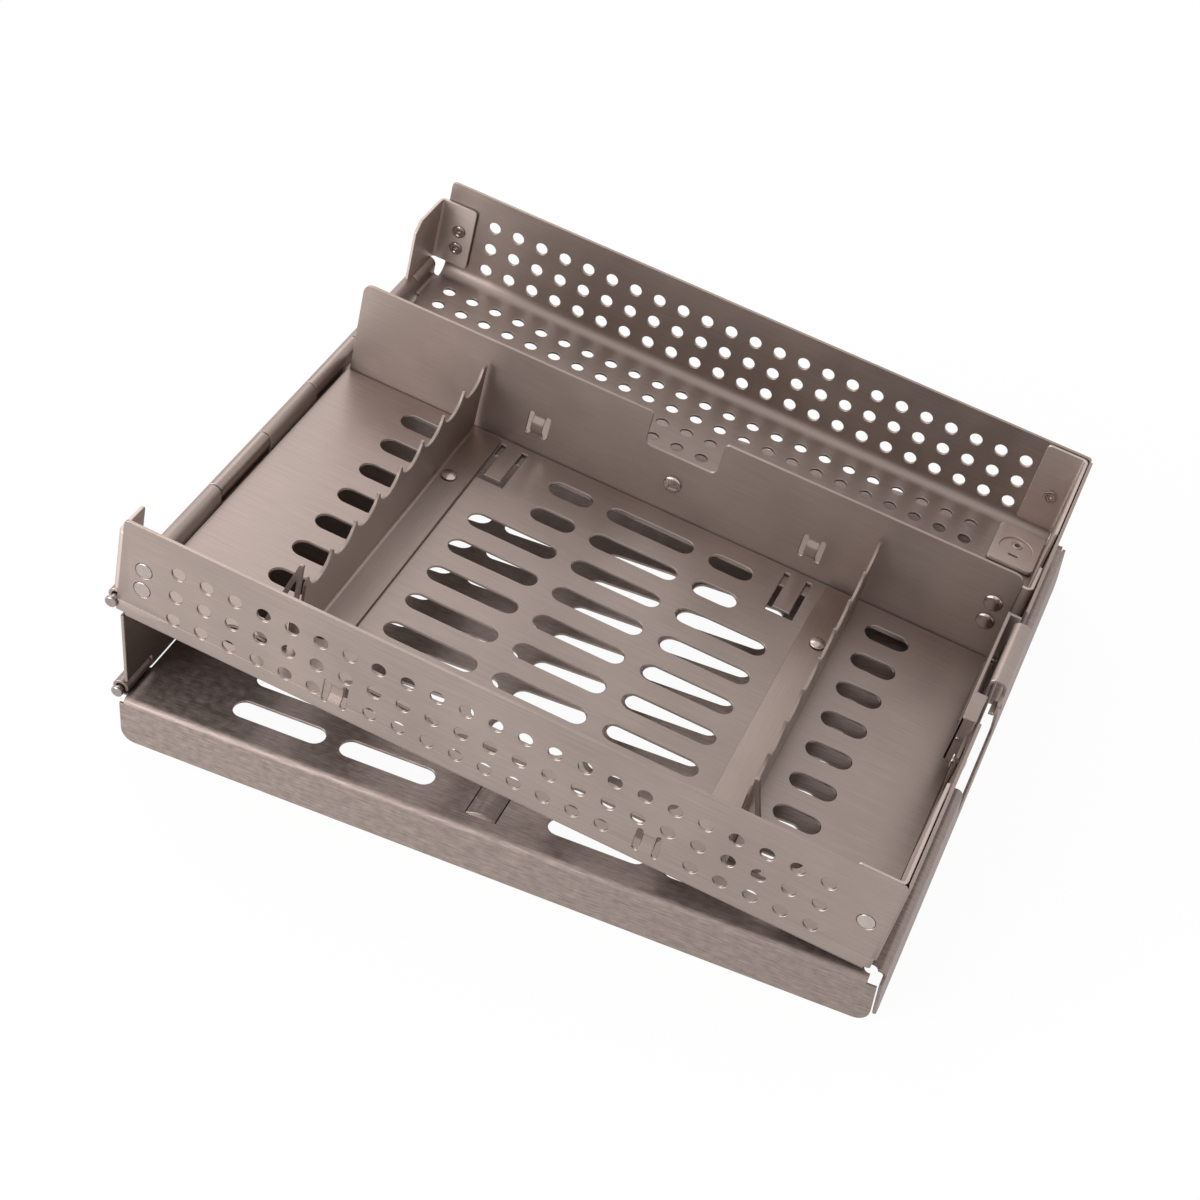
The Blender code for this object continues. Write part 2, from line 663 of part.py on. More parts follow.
def comb(name, side, parent):
    """Scalloped rail with an inward foot flange and a pierced gusset folded from its front end."""
    def across(x):
        return BAY_CENTRE_X + side * x

    face = COMB_OFFSET
    bend_top = COMB_BOTTOM + BEND
    land = SLOT_PITCH_Y / 2
    scallops = []
    centre = SLOT_BACK_Y
    while centre - land > COMB_FRONT - 1:
        depth = COMB_TIP_Z - COMB_DIP_Z
        half = land - 0.45
        radius = (half * half + depth * depth) / (2 * depth)
        spread = math.degrees(math.asin(min(1.0, half / radius)))
        curve = arc(centre, COMB_DIP_Z + radius, radius, -90 + spread, -90 - spread, 8)
        scallops += curve
        centre -= SLOT_PITCH_Y
    gusset_top = 15.0
    plate = [(COMB_FRONT, bend_top + 1), (COMB_FRONT + 2, bend_top), (COMB_BACK, bend_top),
             (COMB_BACK, COMB_TIP_Z)]
    plate += scallops
    plate += [(COMB_FRONT + 0.4, COMB_TIP_Z - 2), (COMB_FRONT + 0.4, gusset_top + 0.6),
              (COMB_FRONT, gusset_top)]

    sheet = Sheet()
    sheet.face([(across(face), y, z) for y, z in plate])
    near, far = (across(face), COMB_FRONT + 2, bend_top), (across(face), COMB_BACK, bend_top)
    steps = bend_steps(BEND, (0, 0, -1), (-side, 0, 0))
    steps.append((-side * COMB_FLANGE, 0, -BEND))
    sheet.fold(near, far, steps)

    inner = BEND - SHEET
    near = (across(face), COMB_FRONT, bend_top + 1)
    far = (across(face), COMB_FRONT, gusset_top)
    sheet.fold(near, far, bend_steps(inner, (0, -1, 0), (side, 0, 0)))
    y = COMB_FRONT - inner
    edge = face + inner
    foot = edge + GUSSET_FOOT
    gusset = rounded([(edge, bend_top + 1, 0), (edge, gusset_top, 0),
                      (face - 0.2, gusset_top + 1.4, 0), (face - 0.2, GUSSET_TIP_Z, 0.3),
                      (face + 0.9, GUSSET_TIP_Z, 0.5), (foot, COMB_BOTTOM, 1.0),
                      (edge, COMB_BOTTOM, 0)])
    sheet.face([(across(x), y, z) for x, z in gusset])
    rail = sheet.finish(name, (side, 0, 0))

    window = rounded([(edge + 1.0, 6.0, 0.6), (edge + 5.4, 6.0, 0.6), (edge + 0.9, 22.5, 0.4)])
    cuts = [([(across(x), z) for x, z in window], "Y", y - 2, y + 1)]
    cuts += [(circle(comb_rivet_x(side), rivet_y, RIVET_SHANK + GAP, 8), "Z", COMB_BOTTOM - 1,
              COMB_BOTTOM + 2) for rivet_y in COMB_RIVET_Y.values()]
    cut(rail, cuts)
    return dress(rail, parent, (0.58, 0.53, 0.51), 0.28)


def corner_bracket(name, corner, first, second, reaches, heights, rivets, parent):
    """Upright angle inside a tray corner, riveted to the side wall."""
    plan = angle_outline(corner, first, second, *reaches)
    bracket = solid(name, [(plan, "Z", *heights)])
    y = corner[1]
    cut(bracket, [(circle(x, z, RIVET_SHANK + GAP, 8), "Y", y - 2, y + 2) for x, z in rivets])
    return dress(bracket, parent)


def corner_brackets(parent):
    inside_front, inside_back = SHEET + GAP, TRAY_WIDTH - SHEET - GAP
    outer_left = TRAY_AXIS_X - 1.1
    inside_right = TRAY_LENGTH - SHEET - GAP
    front_rivets = list(WALL_RIVETS.values())
    back_rivets = list(BACK_RIVETS.values())
    corner_bracket("bracket_front_left", (outer_left, inside_front), (1, 0), (0, 1),
                   (12.1, 12.0), (7.6, 27.1), front_rivets[:2], parent)
    back_left = corner_bracket("bracket_back_left", (outer_left, inside_back), (1, 0), (0, -1),
                               (12.4, 18.7), (7.6, 26.6), back_rivets[:2], parent)
    tip_y, top, clipped = inside_back - 18.7, 26.6, 3.0
    corner = [(tip_y - 1, top - clipped - 1), (tip_y + clipped + 1, top + 1), (tip_y - 1, top + 1)]
    cut(back_left, [(corner, "X", outer_left - 1, outer_left + BEND)], "corner")
    corner_bracket("bracket_front_right", (inside_right, inside_front), (-1, 0), (0, 1),
                   (12.6, 38.0), (2.6, 32.6), front_rivets[2:], parent)
    corner_bracket("bracket_back_right", (inside_right, inside_back), (-1, 0), (0, -1),
                   (12.6, 38.0), (2.6, 32.6), back_rivets[2:], parent)


def corner_pad(parent):
    """Small plate on the tray floor with a round seat, a hole and a short slot."""
    outline = rounded([(PAD_X - 7.2, PAD_Y - 9.5, 1.5), (PAD_X + 7.2, PAD_Y - 9.5, 1.5),
                       (PAD_X + 7.2, PAD_Y + 8.5, 1.5), (PAD_X - 7.2, PAD_Y + 8.5, 1.5)])
    pad = solid("corner_pad", [(outline, "Z", INSERT_BOTTOM, INSERT_BOTTOM + 1.4)])
    seat_y = PAD_Y - 1.5
    cut(pad, [(circle(PAD_X, seat_y, 5.1, 20), "Z", INSERT_BOTTOM + 0.9, INSERT_BOTTOM + 3)])
    cut(pad, [(circle(PAD_X, seat_y + 2.2, 1.65, 12), "Z", 0, 5),
              (slot(PAD_X - 1.6, PAD_X + 1.6, seat_y - 2.8, 1.0, 3), "Z", 0, 5)], "holes")
    return dress(pad, parent, (0.62, 0.58, 0.56), 0.25)


# Hinge pins and spine


def pin(name, radius, head, spot, length, parent):
    """Pin along y from spot, with a round head in front of it where head gives its radius."""
    profile = [(0, 0), (radius, 0), (radius, length), (0, length)]
    if head:
        high = PIN_HEAD_HEIGHT
        profile[:1] = [(0, -high), (head - 0.3, -high), (head, 0.3 - high), (head, 0)]
    mesh = bmesh.new()
    add_turned(mesh, profile, 12, spot, ALONG_Y)
    bmesh.ops.recalc_face_normals(mesh, faces=mesh.faces)
    return dress(new_object(name, mesh), parent, (0.50, 0.47, 0.46), 0.25)


def spine_plate(parent):
    """Plate between the two hinges, curled into knuckles along both edges."""
    top = AXIS_DISTANCE
    skin_x = KNUCKLE_BORE
    lid_clear = KNUCKLE_RADIUS + 0.7
    tray_clear = TRAY_AXIS_Z + 1.1
    low = [(SPINE_FRONT, lid_clear)]
    high = [(SPINE_FRONT, top - tray_clear)]
    for start, end in SPINE_SPANS:
        low += [(start, lid_clear), (start, 0.0), (end, 0.0), (end, lid_clear)]
        high += [(start, top - tray_clear), (start, top), (end, top), (end, top - tray_clear)]
    low.append((SPINE_BACK, lid_clear))
    high.append((SPINE_BACK, top - tray_clear))

    sheet = Sheet()
    sheet.face([(skin_x, y, z) for y, z in low + high[::-1]])
    for start, end in SPINE_SPANS:
        sheet.fold((skin_x, start, top), (skin_x, end, top),
                   knuckle_steps((KNUCKLE_BORE, 0), 0, KNUCKLE_SWEEP))
        sheet.fold((skin_x, start, 0.0), (skin_x, end, 0.0),
                   knuckle_steps((KNUCKLE_BORE, 0), 0, -KNUCKLE_SWEEP))
    return dress(sheet.finish("spine_plate", (-1, 0, 0)), parent)


# Lid


def lid_slots():
    """(left, right, y) of the lid's drain slots, which stand in its front rows."""
    slots = []
    for row in range(LID_SLOT_ROWS):
        y = LID_SLOT_FRONT_Y + row * SLOT_PITCH_Y
        for index, left in enumerate(LID_SLOT_LEFTS):
            if row == 0 and index == 2:
                continue
            length = 21.6 if index == 2 else LID_SLOT_LENGTH
            slots.append((left, left + length, y))
        if row:
            slots += [(left, left + LID_SHORT_LENGTH, y) for left in LID_SHORT_SLOTS]
    return slots


def lid_shell(parent):
    """Plate with three turned-down lips, drain slots, a latch window and hinge knuckles."""
    top = LID_HEIGHT
    bend = top - BEND
    front, back = LID_FRONT + BEND, LID_BACK - BEND
    right = LID_RIGHT - BEND
    relief = 2.2
    relief_x, relief_front, relief_back = right - relief, front + relief, back - relief
    tabs = span_points(OUTER_SPANS)

    sheet = Sheet()
    plate = [(LID_LEFT, front), (relief_x, front), (relief_x, relief_front), (right, relief_front),
             (right, relief_back), (relief_x, relief_back), (relief_x, back), (LID_LEFT, back)]
    plate += [(LID_LEFT, y) for y in reversed(tabs)]
    sheet.face([(x, y, top) for x, y in plate])

    lip_end = LID_RIGHT - SHEET - GAP
    for y, outward in ((front, -1), (back, 1)):
        near, far = (LID_LEFT, y, top), (relief_x, y, top)
        sheet.fold(near, far, bend_steps(BEND, (0, outward, 0), (0, 0, -1)))
        lip = rounded([(LID_LEFT, bend, 0), (relief_x, bend, 0), (lip_end, bend, 0),
                       (lip_end, 0, 4), (LID_LEFT, 0, 4)])
        sheet.face([(x, y + outward * BEND, z) for x, z in lip])
    near, far = (right, relief_front, top), (right, relief_back, top)
    sheet.fold(near, far, bend_steps(BEND, (1, 0, 0), (0, 0, -1)))
    lip_front, lip_back = LID_INNER_FRONT + 0.4, TRAY_WIDTH - LID_INNER_FRONT - 0.4
    lip = rounded([(relief_front, bend, 0), (relief_back, bend, 0), (lip_back, bend, 0),
                   (lip_back, 0, 4), (lip_front, 0, 4), (lip_front, bend, 0)])
    sheet.face([(LID_RIGHT, y, z) for y, z in lip])

    for start, end in OUTER_SPANS:
        lead = (-LID_LEFT, 0, 0)
        curl = [tuple(a + b for a, b in zip(lead, step))
                for step in knuckle_steps((0, -KNUCKLE_BORE), -90, -KNUCKLE_SWEEP)]
        sheet.fold((LID_LEFT, start, top), (LID_LEFT, end, top), [lead] + curl)

    shell = sheet.finish("lid_shell", (0, 0, 1))
    left, right, tip = LID_TONGUE_LEFT, LID_TONGUE_RIGHT, LID_TONGUE_FRONT
    slit, root = LID_TONGUE_SLIT, LID_TONGUE_FRONT + LID_TONGUE_LENGTH
    tongue = [(left - slit, root), (left - slit, tip - slit), (right + slit, tip - slit),
              (right + slit, root), (right, root), (right, tip), (left, tip), (left, root)]
    cuts = [(tongue, "Z", top - 3, top + 2)]
    cuts += [(slot(a, b, y, SLOT_WIDTH), "Z", top - 3, top + 2) for a, b, y in lid_slots()]
    cuts += [(circle(relief_x, y, RELIEF_DIAMETER / 2, 12), "Z", top - 1.5, top + 1)
             for y in (relief_front, relief_back)]
    window = rounded([(NOTCH_FRONT + 9, LID_BAR_TOP, 1.5), (NOTCH_BACK - 2, LID_BAR_TOP, 1.5),
                      (NOTCH_BACK - 2, top + 2, 0), (NOTCH_FRONT + 9, top + 2, 0)])
    cuts.append((window, "X", LID_RIGHT - 3.4, LID_RIGHT + 2))
    cut(shell, cuts)
    return dress(shell, parent, (0.50, 0.46, 0.44), 0.38)


# Latch


def latch_housing(parent):
    """Bracket on the end wall that carries the latch pin: back plate, returns, feet and ledge."""
    feet = TRAY_LENGTH - SHEET - GAP
    plate = LATCH_LEG_X - GAP
    front, back = LATCH_FRONT - GAP - SHEET, LATCH_BACK + 4.4
    foot_front, foot_back = front - 9.0, back + 8.5
    outer = [(feet, foot_front), (feet, front + SHEET), (plate, front + SHEET),
             (plate, back - SHEET), (feet, back - SHEET), (feet, foot_back)]
    inner = [(feet - SHEET, foot_back), (feet - SHEET, back), (plate - SHEET, back),
             (plate - SHEET, front), (feet - SHEET, front), (feet - SHEET, foot_front)]
    housing = solid("latch_housing", [(outer + inner, "Z", HOUSING_BOTTOM, HOUSING_TOP)])
    bay = box(plate - 3, plate + 0.1, 0, LATCH_PIVOT_Z + 3.8)
    x_front, x_back = front + SHEET, back - SHEET
    cut(housing, [([(x, z) for x, z in bay], "Y", x_front + 0.01, x_back - 0.01)])
    cut(housing, [
        (box(foot_front - 1, front, NOTCH_BOTTOM - 1, TRAY_HEIGHT), "X", plate - 3, feet + 1),
        (box(back, foot_back + 1, NOTCH_BOTTOM - 1, TRAY_HEIGHT), "X", plate - 3, feet + 1),
        (circle(LATCH_PIVOT_X, LATCH_PIVOT_Z, LATCH_PIN_RADIUS + GAP, 12), "Y", front - 1,
         back + 1)], "trim")
    cut(housing, [(circle(y, LATCH_RIVET_Z, RIVET_SHANK + GAP, 8), "X", feet - 2, feet + 1)
                  for y in LATCH_RIVET_Y.values()], "rivet_holes")
    ledge = box(plate - SHEET, feet - 0.2, HOUSING_TOP - 0.5, HOUSING_TOP + 0.4)
    join(housing, [(ledge, "Y", front - LEDGE_LENGTH, front + SHEET / 2)], "ledge")
    return dress(housing, parent)


def strip_beside(points):
    """The outline of a sheet one thickness wide on the right-hand side of a line of points."""
    line = [Vector(point) for point in points]
    other = []
    for index, point in enumerate(line):
        before = line[max(index - 1, 0)]
        after = line[min(index + 1, len(line) - 1)]
        first = (point - before).normalized() if index else (after - point).normalized()
        last = (after - point).normalized() if index < len(line) - 1 else first
        middle = (first + last).normalized()
        normal = Vector((middle.y, -middle.x))
        stretch = 1 / max(0.5, normal.dot(Vector((first.y, -first.x))))
        other.append(point + normal * SHEET * stretch)
    return [tuple(p) for p in line] + [tuple(p) for p in reversed(other)]


def latch_lever(parent):
    """Sprung catch: an eye on the pin, a leg, a rounded top, a thumb face and a hook in front."""
    outer = LATCH_OUTER_X
    top_centre = LATCH_TOP - LEVER_TURN
    skin = arc(LATCH_PIVOT_X, LATCH_PIVOT_Z, LATCH_EYE, -300, 0, 10)
    skin += arc(LATCH_LEG_X + LEVER_TURN, top_centre, LEVER_TURN, 180, 90, 5)
    skin += arc(outer - LEVER_TURN, top_centre, LEVER_TURN, 90, 0, 5)
    skin.append((outer, 27.6))
    thumb = skin + [(outer + 0.25, 26.4), (outer + 1.0, THUMB_BOTTOM)]
    hook = [(outer, HOOK_TOP)]
    hook += arc(outer - HOOK_TURN, HOOK_BOTTOM + HOOK_TURN, HOOK_TURN, 0, -90, 4)
    hook.append((LID_RIGHT + TRAY_AXIS_X - SHEET + 0.15, HOOK_BOTTOM))
    split = LATCH_FRONT + HOOK_WIDTH
    lever = solid("latch_lever", [(strip_beside(thumb), "Y", split - 0.4, LATCH_BACK)])
    join(lever, [(strip_beside(hook), "Y", LATCH_FRONT, split)], "hook")
    return dress(lever, parent, (0.52, 0.47, 0.46), 0.30)


def latch_spring(parent):
    """Torsion spring: three turns round the pin and two legs."""
    wire, turns, steps = 0.3, 3, 10
    radius = LATCH_PIN_RADIUS + GAP + wire
    start_y = LATCH_BACK + 0.6
    pitch = 0.75
    points = [(radius, start_y, 9.0)]
    for step in range(turns * steps + 1):
        angle = 2 * math.pi * step / steps
        points.append((radius * math.cos(angle), start_y + pitch * step / steps,
                       -radius * math.sin(angle)))
    points.append((radius * 0.98, start_y + pitch * turns + 0.1, -5.0))
    curve = bpy.data.curves.new("latch_spring", "CURVE")
    curve.dimensions = "3D"
    curve.bevel_depth = wire * MM
    curve.bevel_resolution = 1
    curve.use_fill_caps = True
    line = curve.splines.new("POLY")
    line.points.add(len(points) - 1)
    for target, (x, y, z) in zip(line.points, points):
        spot = Vector((LATCH_PIVOT_X + x, y, LATCH_PIVOT_Z + z)) * MM
        target.co = (*spot, 1)
    spring = bpy.data.objects.new("latch_spring", curve)
    bpy.context.scene.collection.objects.link(spring)
    spring.parent = parent
    curve.materials.append(steel("latch_spring", (0.45, 0.44, 0.44), 0.3))
    return spring


# Rivets


def rivet(name, spot, turn, parent, flush=False):
    """Set rivet along z: a domed or a flush head, a shank and a hollow flared tail."""
    head, high = RIVET_HEAD, RIVET_HEAD_HEIGHT
    if flush:
        top = [(0, 0), (head, 0), (RIVET_SHANK, SHEET)]
        shank = 2 * (SHEET + GAP)
    else:
        top = [(0, -high), (head * 0.6, -high * 0.85), (head * 0.9, -high * 0.4), (head, 0),
               (RIVET_SHANK, 0)]
        shank = 2 * SHEET + 3 * GAP
    profile = top + [(RIVET_SHANK, shank), (RIVET_TAIL, shank), (RIVET_BORE, shank + 0.5),
                     (0, shank - 0.6)]
    mesh = bmesh.new()
    add_turned(mesh, profile, RIVET_SIDES, spot, turn)
    bmesh.ops.recalc_face_normals(mesh, faces=mesh.faces)
    return dress(new_object("rivet_" + name, mesh), parent, (0.62, 0.57, 0.55), 0.25)


def rivets(parent):
    for name, (x, z) in WALL_RIVETS.items():
        rivet(name, (x, 0, z), ALONG_Y, parent, flush=True)
    for name, (x, z) in BACK_RIVETS.items():
        rivet(name, (x, TRAY_WIDTH, z), AGAINST_Y, parent, flush=True)
    for name, (x, z) in {**SIDE_BRACKET_RIVETS, "divider_foot": FOOT_BRACKET_RIVET}.items():
        rivet(name, (x, DIVIDER_Y - GAP, z), ALONG_Y, parent)
    for name, y in LATCH_RIVET_Y.items():
        rivet("latch_" + name, (TRAY_LENGTH + GAP, y, LATCH_RIVET_Z), AGAINST_X, parent)
    for side, side_name in ((-1, "left"), (1, "right")):
        for name, y in COMB_RIVET_Y.items():
            top = COMB_BOTTOM + SHEET + GAP
            rivet(f"comb_{side_name}_{name}", (comb_rivet_x(side), y, top), DOWN, parent)


def stand_at_origin(root):
    """Moves the whole cassette so that the middle of its box's bottom is the origin."""
    bpy.context.view_layer.update()
    graph = bpy.context.evaluated_depsgraph_get()
    points = []
    for obj in bpy.context.scene.objects:
        if obj.type in ("MESH", "CURVE") and not obj.hide_render:
            evaluated = obj.evaluated_get(graph)
            mesh = evaluated.to_mesh()
            points += [evaluated.matrix_world @ vertex.co for vertex in mesh.vertices]
            evaluated.to_mesh_clear()
    low = Vector(min(p[i] for p in points) for i in range(3))
    high = Vector(max(p[i] for p in points) for i in range(3))
    root.location = (-(low.x + high.x) / 2, -(low.y + high.y) / 2, -low.z)


def main():
    for obj in list(bpy.data.objects):
        bpy.data.objects.remove(obj)
    root = axis_empty("cassette", None, (0, 0, 0))
    lid_shell(root)
    pin("lid_hinge_pin", PIN_RADIUS, PIN_HEAD_RADIUS, (0, -GAP, LID_AXIS_Z), HINGE_LENGTH, root)
    spine_axis = axis_empty("spine_axis", root, (0, 0, LID_AXIS_Z))
    spine_plate(spine_axis)
    tray_axis = axis_empty("tray_axis", spine_axis, (0, 0, AXIS_DISTANCE), tray_tilt())
    pin("tray_hinge_pin", PIN_RADIUS, PIN_HEAD_RADIUS, (0, -GAP, 0), HINGE_LENGTH, tray_axis)
    tray = axis_empty("tray", tray_axis, (-TRAY_AXIS_X, 0, -TRAY_AXIS_Z))
    tray_shell(tray)
    insert_floor(tray)
    divider_wall(tray)
    divider_brackets(tray)
    comb("comb_left", -1, tray)
    comb("comb_right", 1, tray)
    corner_brackets(tray)
    corner_pad(tray)
    latch_housing(tray)
    pin("latch_pin", LATCH_PIN_RADIUS, 0, (LATCH_PIVOT_X, LATCH_FRONT - 1.8, LATCH_PIVOT_Z),
        LATCH_WIDTH + 6.8, tray)
    latch_spring(tray)
    rivets(tray)
    latch_lever(tray)
    stand_at_origin(root)


main()
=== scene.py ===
"""Add-on that builds the visible pieces of a folded stainless instrument cassette.

Sheet pieces are cut flat in millimetres, creased and rolled at their bends, then placed in
metres. The hinge frame has its origin on the lid's hinge, and the tray frame has its origin at
the tray's hinge-end bottom corner, x along the tray and y from its front wall.
"""

import json
import math
from typing import NamedTuple

import bmesh
import bpy
from mathutils import Matrix, Vector


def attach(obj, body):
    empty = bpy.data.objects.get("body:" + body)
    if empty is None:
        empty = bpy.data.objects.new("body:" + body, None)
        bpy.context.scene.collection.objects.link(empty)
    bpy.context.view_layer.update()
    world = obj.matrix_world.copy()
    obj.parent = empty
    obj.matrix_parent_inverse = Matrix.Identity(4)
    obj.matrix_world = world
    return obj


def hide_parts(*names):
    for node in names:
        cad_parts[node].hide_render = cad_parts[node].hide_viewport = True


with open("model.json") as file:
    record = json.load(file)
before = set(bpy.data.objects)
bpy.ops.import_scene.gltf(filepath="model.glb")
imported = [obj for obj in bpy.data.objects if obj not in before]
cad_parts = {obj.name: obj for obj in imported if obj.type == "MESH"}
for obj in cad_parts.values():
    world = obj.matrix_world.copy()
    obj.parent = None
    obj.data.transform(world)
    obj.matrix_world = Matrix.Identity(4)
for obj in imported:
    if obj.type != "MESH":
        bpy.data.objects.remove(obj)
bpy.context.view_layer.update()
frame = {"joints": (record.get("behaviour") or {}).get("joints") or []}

bl_info = {
    "name": "Instrument cassette",
    "version": (1, 0, 0),
    "blender": (4, 5, 0),
    "location": "View3D > Sidebar > Cassette",
    "description": "Builds a folded stainless instrument cassette and its studio",
    "category": "Add Mesh",
}

MM = 0.001
QUARTER = math.pi / 2
KNUCKLE_SWEEP = math.radians(285)
FAR = 500.0  # Beyond every piece, for a region that is open on one side

# Sizes of the tray, in millimetres
TRAY_LENGTH, TRAY_WIDTH, TRAY_HEIGHT = 210.0, 187.5, 33.0
TRAY_TILT = 0.1345819
SHEET, GAP, BEND = 0.9, 0.3, 1.8
BACK_BEND = 4.4
FLOOR_LEFT = 2.6
RELIEF_X, RELIEF_Y = 207.9, 4.7
END_STEP_Z = 4.4
TAB_BEND, TAB_RISE = -2.0, 2.4
GROOVE_Z, GROOVE_HALF, GROOVE_DEPTH = 5.5, 0.2, 0.09
NOTCH_FRONT, NOTCH_BACK, NOTCH_BOTTOM = 63.0, 111.0, 17.5
HOLE_COLUMNS, HOLE_PITCH = 23, 8.0
WALL_HOLE_X, WALL_HOLE_Z, WALL_HOLE_ROWS = 16.2, 7.1, 3
STRIP_HOLE_X, STRIP_HOLE_Y, STRIP_HOLE_ROWS = 9.2, 177.5, 5
CLIP_X, CLIP_CLEARANCE = (62.3, 148.4), 5.3
CLIP_HALF, CLIP_HEIGHT, CLIP_BULGE, CLIP_RAMP = 2.6, 8.0, 1.3, 2.0
CLIP_SLOT_WIDTH = 1.6
WALL_CLIP_Z, DIVIDER_CLIP_Z = 8.2, 11.6
DIVIDER_Y = 123.2
DIVIDER_LEFT, DIVIDER_RIGHT, DIVIDER_TOP = 2.5, 205.6, TRAY_HEIGHT + 0.2
CUTOUT_LEFT, CUTOUT_RIGHT, CUTOUT_BOTTOM = 93.8, 115.7, 21.8
BAY_CENTRE_X = 104.8
SLOT_WIDTH, SLOT_PITCH_X, SLOT_PITCH_Y = 6.2, 31.9, 12.955
SLOT_ROWS, SLOT_BACK_Y = 9, 112.6
SLOT_HALF, SHORT_SLOT = 13.4, 13.3
OUTER_SLOT_X, OUTER_SLOT_HALF = 73.1, 6.45
TONGUES_X = (58.1, 148.2)
INSERT_BOTTOM, COMB_BOTTOM = 1.2, 2.4
COMB_OFFSET, COMB_FRONT, COMB_BACK = 61.4, 13.9, 121.0
COMB_RIVET_X, COMB_RIVETS_Y = 56.9, (22.0, 97.0)
PAD_X, PAD_Y = 200.3, 174.4
LATCH_FRONT, LATCH_BACK = 75.6, 105.6
LATCH_PIVOT = (206.4, 14.0)
LATCH_RIVETS_Y, LATCH_RIVET_Z = (69.5, 114.8), 11.0
WALL_RIVETS = ((6.7, 18.9), (6.7, 12.4), (203.8, 16.7))
BACK_RIVETS = ((5.5, 17.6), (5.5, 11.4), (203.0, 15.8))
SIDE_BRACKET_RIVETS = ((200.4, 20.8), (200.4, 13.8))
FOOT_BRACKET_RIVET = (104.8, 12.3)
RIVET_HOLE, RIVET_SEAT = 1.5, 2.42
DOME_RADIUS, DIVIDER_DOME_RADIUS = 2.3, 2.75
HOUSING_X, HOUSING_BOTTOM, HOUSING_TOP = 204.9, 5.5, 31.0
LEDGE_LENGTH = 10.5

# Sizes of the hinges and the lid
HINGE_AXIS_HEIGHT = 31.4
OUTER_SPANS = ((1.05, 12.85), (51.15, 77.85), (105.15, 131.85), (170.15, 182.85))
SPINE_SPANS = ((13.15, 50.85), (78.15, 104.85), (132.15, 169.85))
BORE = 1.4
LID_TOP, LID_RIGHT = 15.0, 212.5
LID_FRONT, LID_BACK = -1.3, 188.8
LID_LEFT, LIP_LEFT = 2.1, 0.8
LID_RELIEF, LID_RELIEF_RADIUS = 2.2, 1.7
LID_SLOT_COLUMNS = ((28.6, 55.5), (60.1, 87.2), (91.9, 114.8), (119.5, 146.6), (151.2, 178.1))
LID_SLOT_FRONT_Y, TONGUE_COLUMN = 10.5, 2
LID_WINDOW_FRONT, LID_WINDOW_BACK = 72.0, 109.0
LID_TONGUE_LEFT, LID_TONGUE_RIGHT, LID_TONGUE_WIDTH = 99.2, 107.5, 8.3
LID_TONGUE_TIP, LID_TONGUE_ROOT, LID_TONGUE_SLIT = 3.8, 15.0, 0.15
PIN_RADIUS, PIN_LENGTH, PIN_HEAD = 1.05, 183.0, 1.7

# Camera, solved from the hole grid: place in tray millimetres and the picture's axes
CAMERA_PLACE = (194.23, -362.79, 417.39)
CAMERA_RIGHT = Vector((0.89795, 0.38509, 0.21307))
CAMERA_DOWN = Vector((0.41457, -0.57761, -0.70321))
CAMERA_FORWARD = Vector((-0.14773, 0.71978, -0.67831))

# Lamps: name, place and size in metres
KEY_LAMP = ("lamp_key", (-0.72, 0.75, 1.1), (1.0, 0.8))
FILL_LAMP = ("lamp_fill", (-0.9, -1.0, 0.45), (1.3, 0.6))


# Flat outlines: lists of (u, v) points in millimetres


def arc(centre_u, centre_v, radius, start, end, steps):
    """Points along an arc, angles in degrees."""
    angles = [math.radians(start + (end - start) * step / steps) for step in range(steps + 1)]
    return [(centre_u + radius * math.cos(a), centre_v + radius * math.sin(a)) for a in angles]


def circle(centre_u, centre_v, radius, sides=24):
    return arc(centre_u, centre_v, radius, 0, 360 - 360 / sides, sides - 1)


def box(left, right, bottom, top):
    return [(left, bottom), (right, bottom), (right, top), (left, top)]


def slot(left, right, centre_v, width, steps=10):
    """A slot with round ends along u."""
    radius = width / 2
    return arc(right - radius, centre_v, radius, -90, 90, steps) + arc(
        left + radius, centre_v, radius, 90, 270, steps
    )


def upright_slot(centre_u, low, high, width, steps=8):
    """A slot with round ends along v."""
    radius = width / 2
    return arc(centre_u, low + radius, radius, 180, 360, steps) + arc(
        centre_u, high - radius, radius, 0, 180, steps
    )


def rounded(corners, steps=5):
    """Turns (u, v, radius) corners into an outline with arcs."""
    points = []
    for index, (u, v, radius) in enumerate(corners):
        if not radius:
            points.append((u, v))
            continue
        here = Vector((u, v))
        before = (Vector(corners[index - 1][:2]) - here).normalized()
        after = (Vector(corners[(index + 1) % len(corners)][:2]) - here).normalized()
        half = before.angle(after) / 2
        centre = here + (before + after).normalized() * radius / math.sin(half)
        start = here + before * radius / math.tan(half) - centre
        end = here + after * radius / math.tan(half) - centre
        turn = start.angle_signed(end)
        for step in range(steps + 1):
            points.append(tuple(centre + Matrix.Rotation(-turn * step / steps, 2) @ start))
    return points


# Sheet work


def linked(name, data):
    """A new object, put in the scene."""
    obj = bpy.data.objects.new(name, data)
    bpy.context.scene.collection.objects.link(obj)
    return obj


class Bend(NamedTuple):
    """A roll of the sheet about a line across it.

    The line stands start millimetres along the direction along. up is 1 where the sheet rolls
    towards its body and -1 where it rolls towards its skin. radius is the skin's. Only the
    points inside region (u from, u to, v from, v to) are moved, and those with v above
    stiff_from turn with the far side without being rolled.
    """

    region: tuple
    start: float
    along: tuple
    up: int
    radius: float
    sweep: float = QUARTER
    stiff_from: float = 1e9


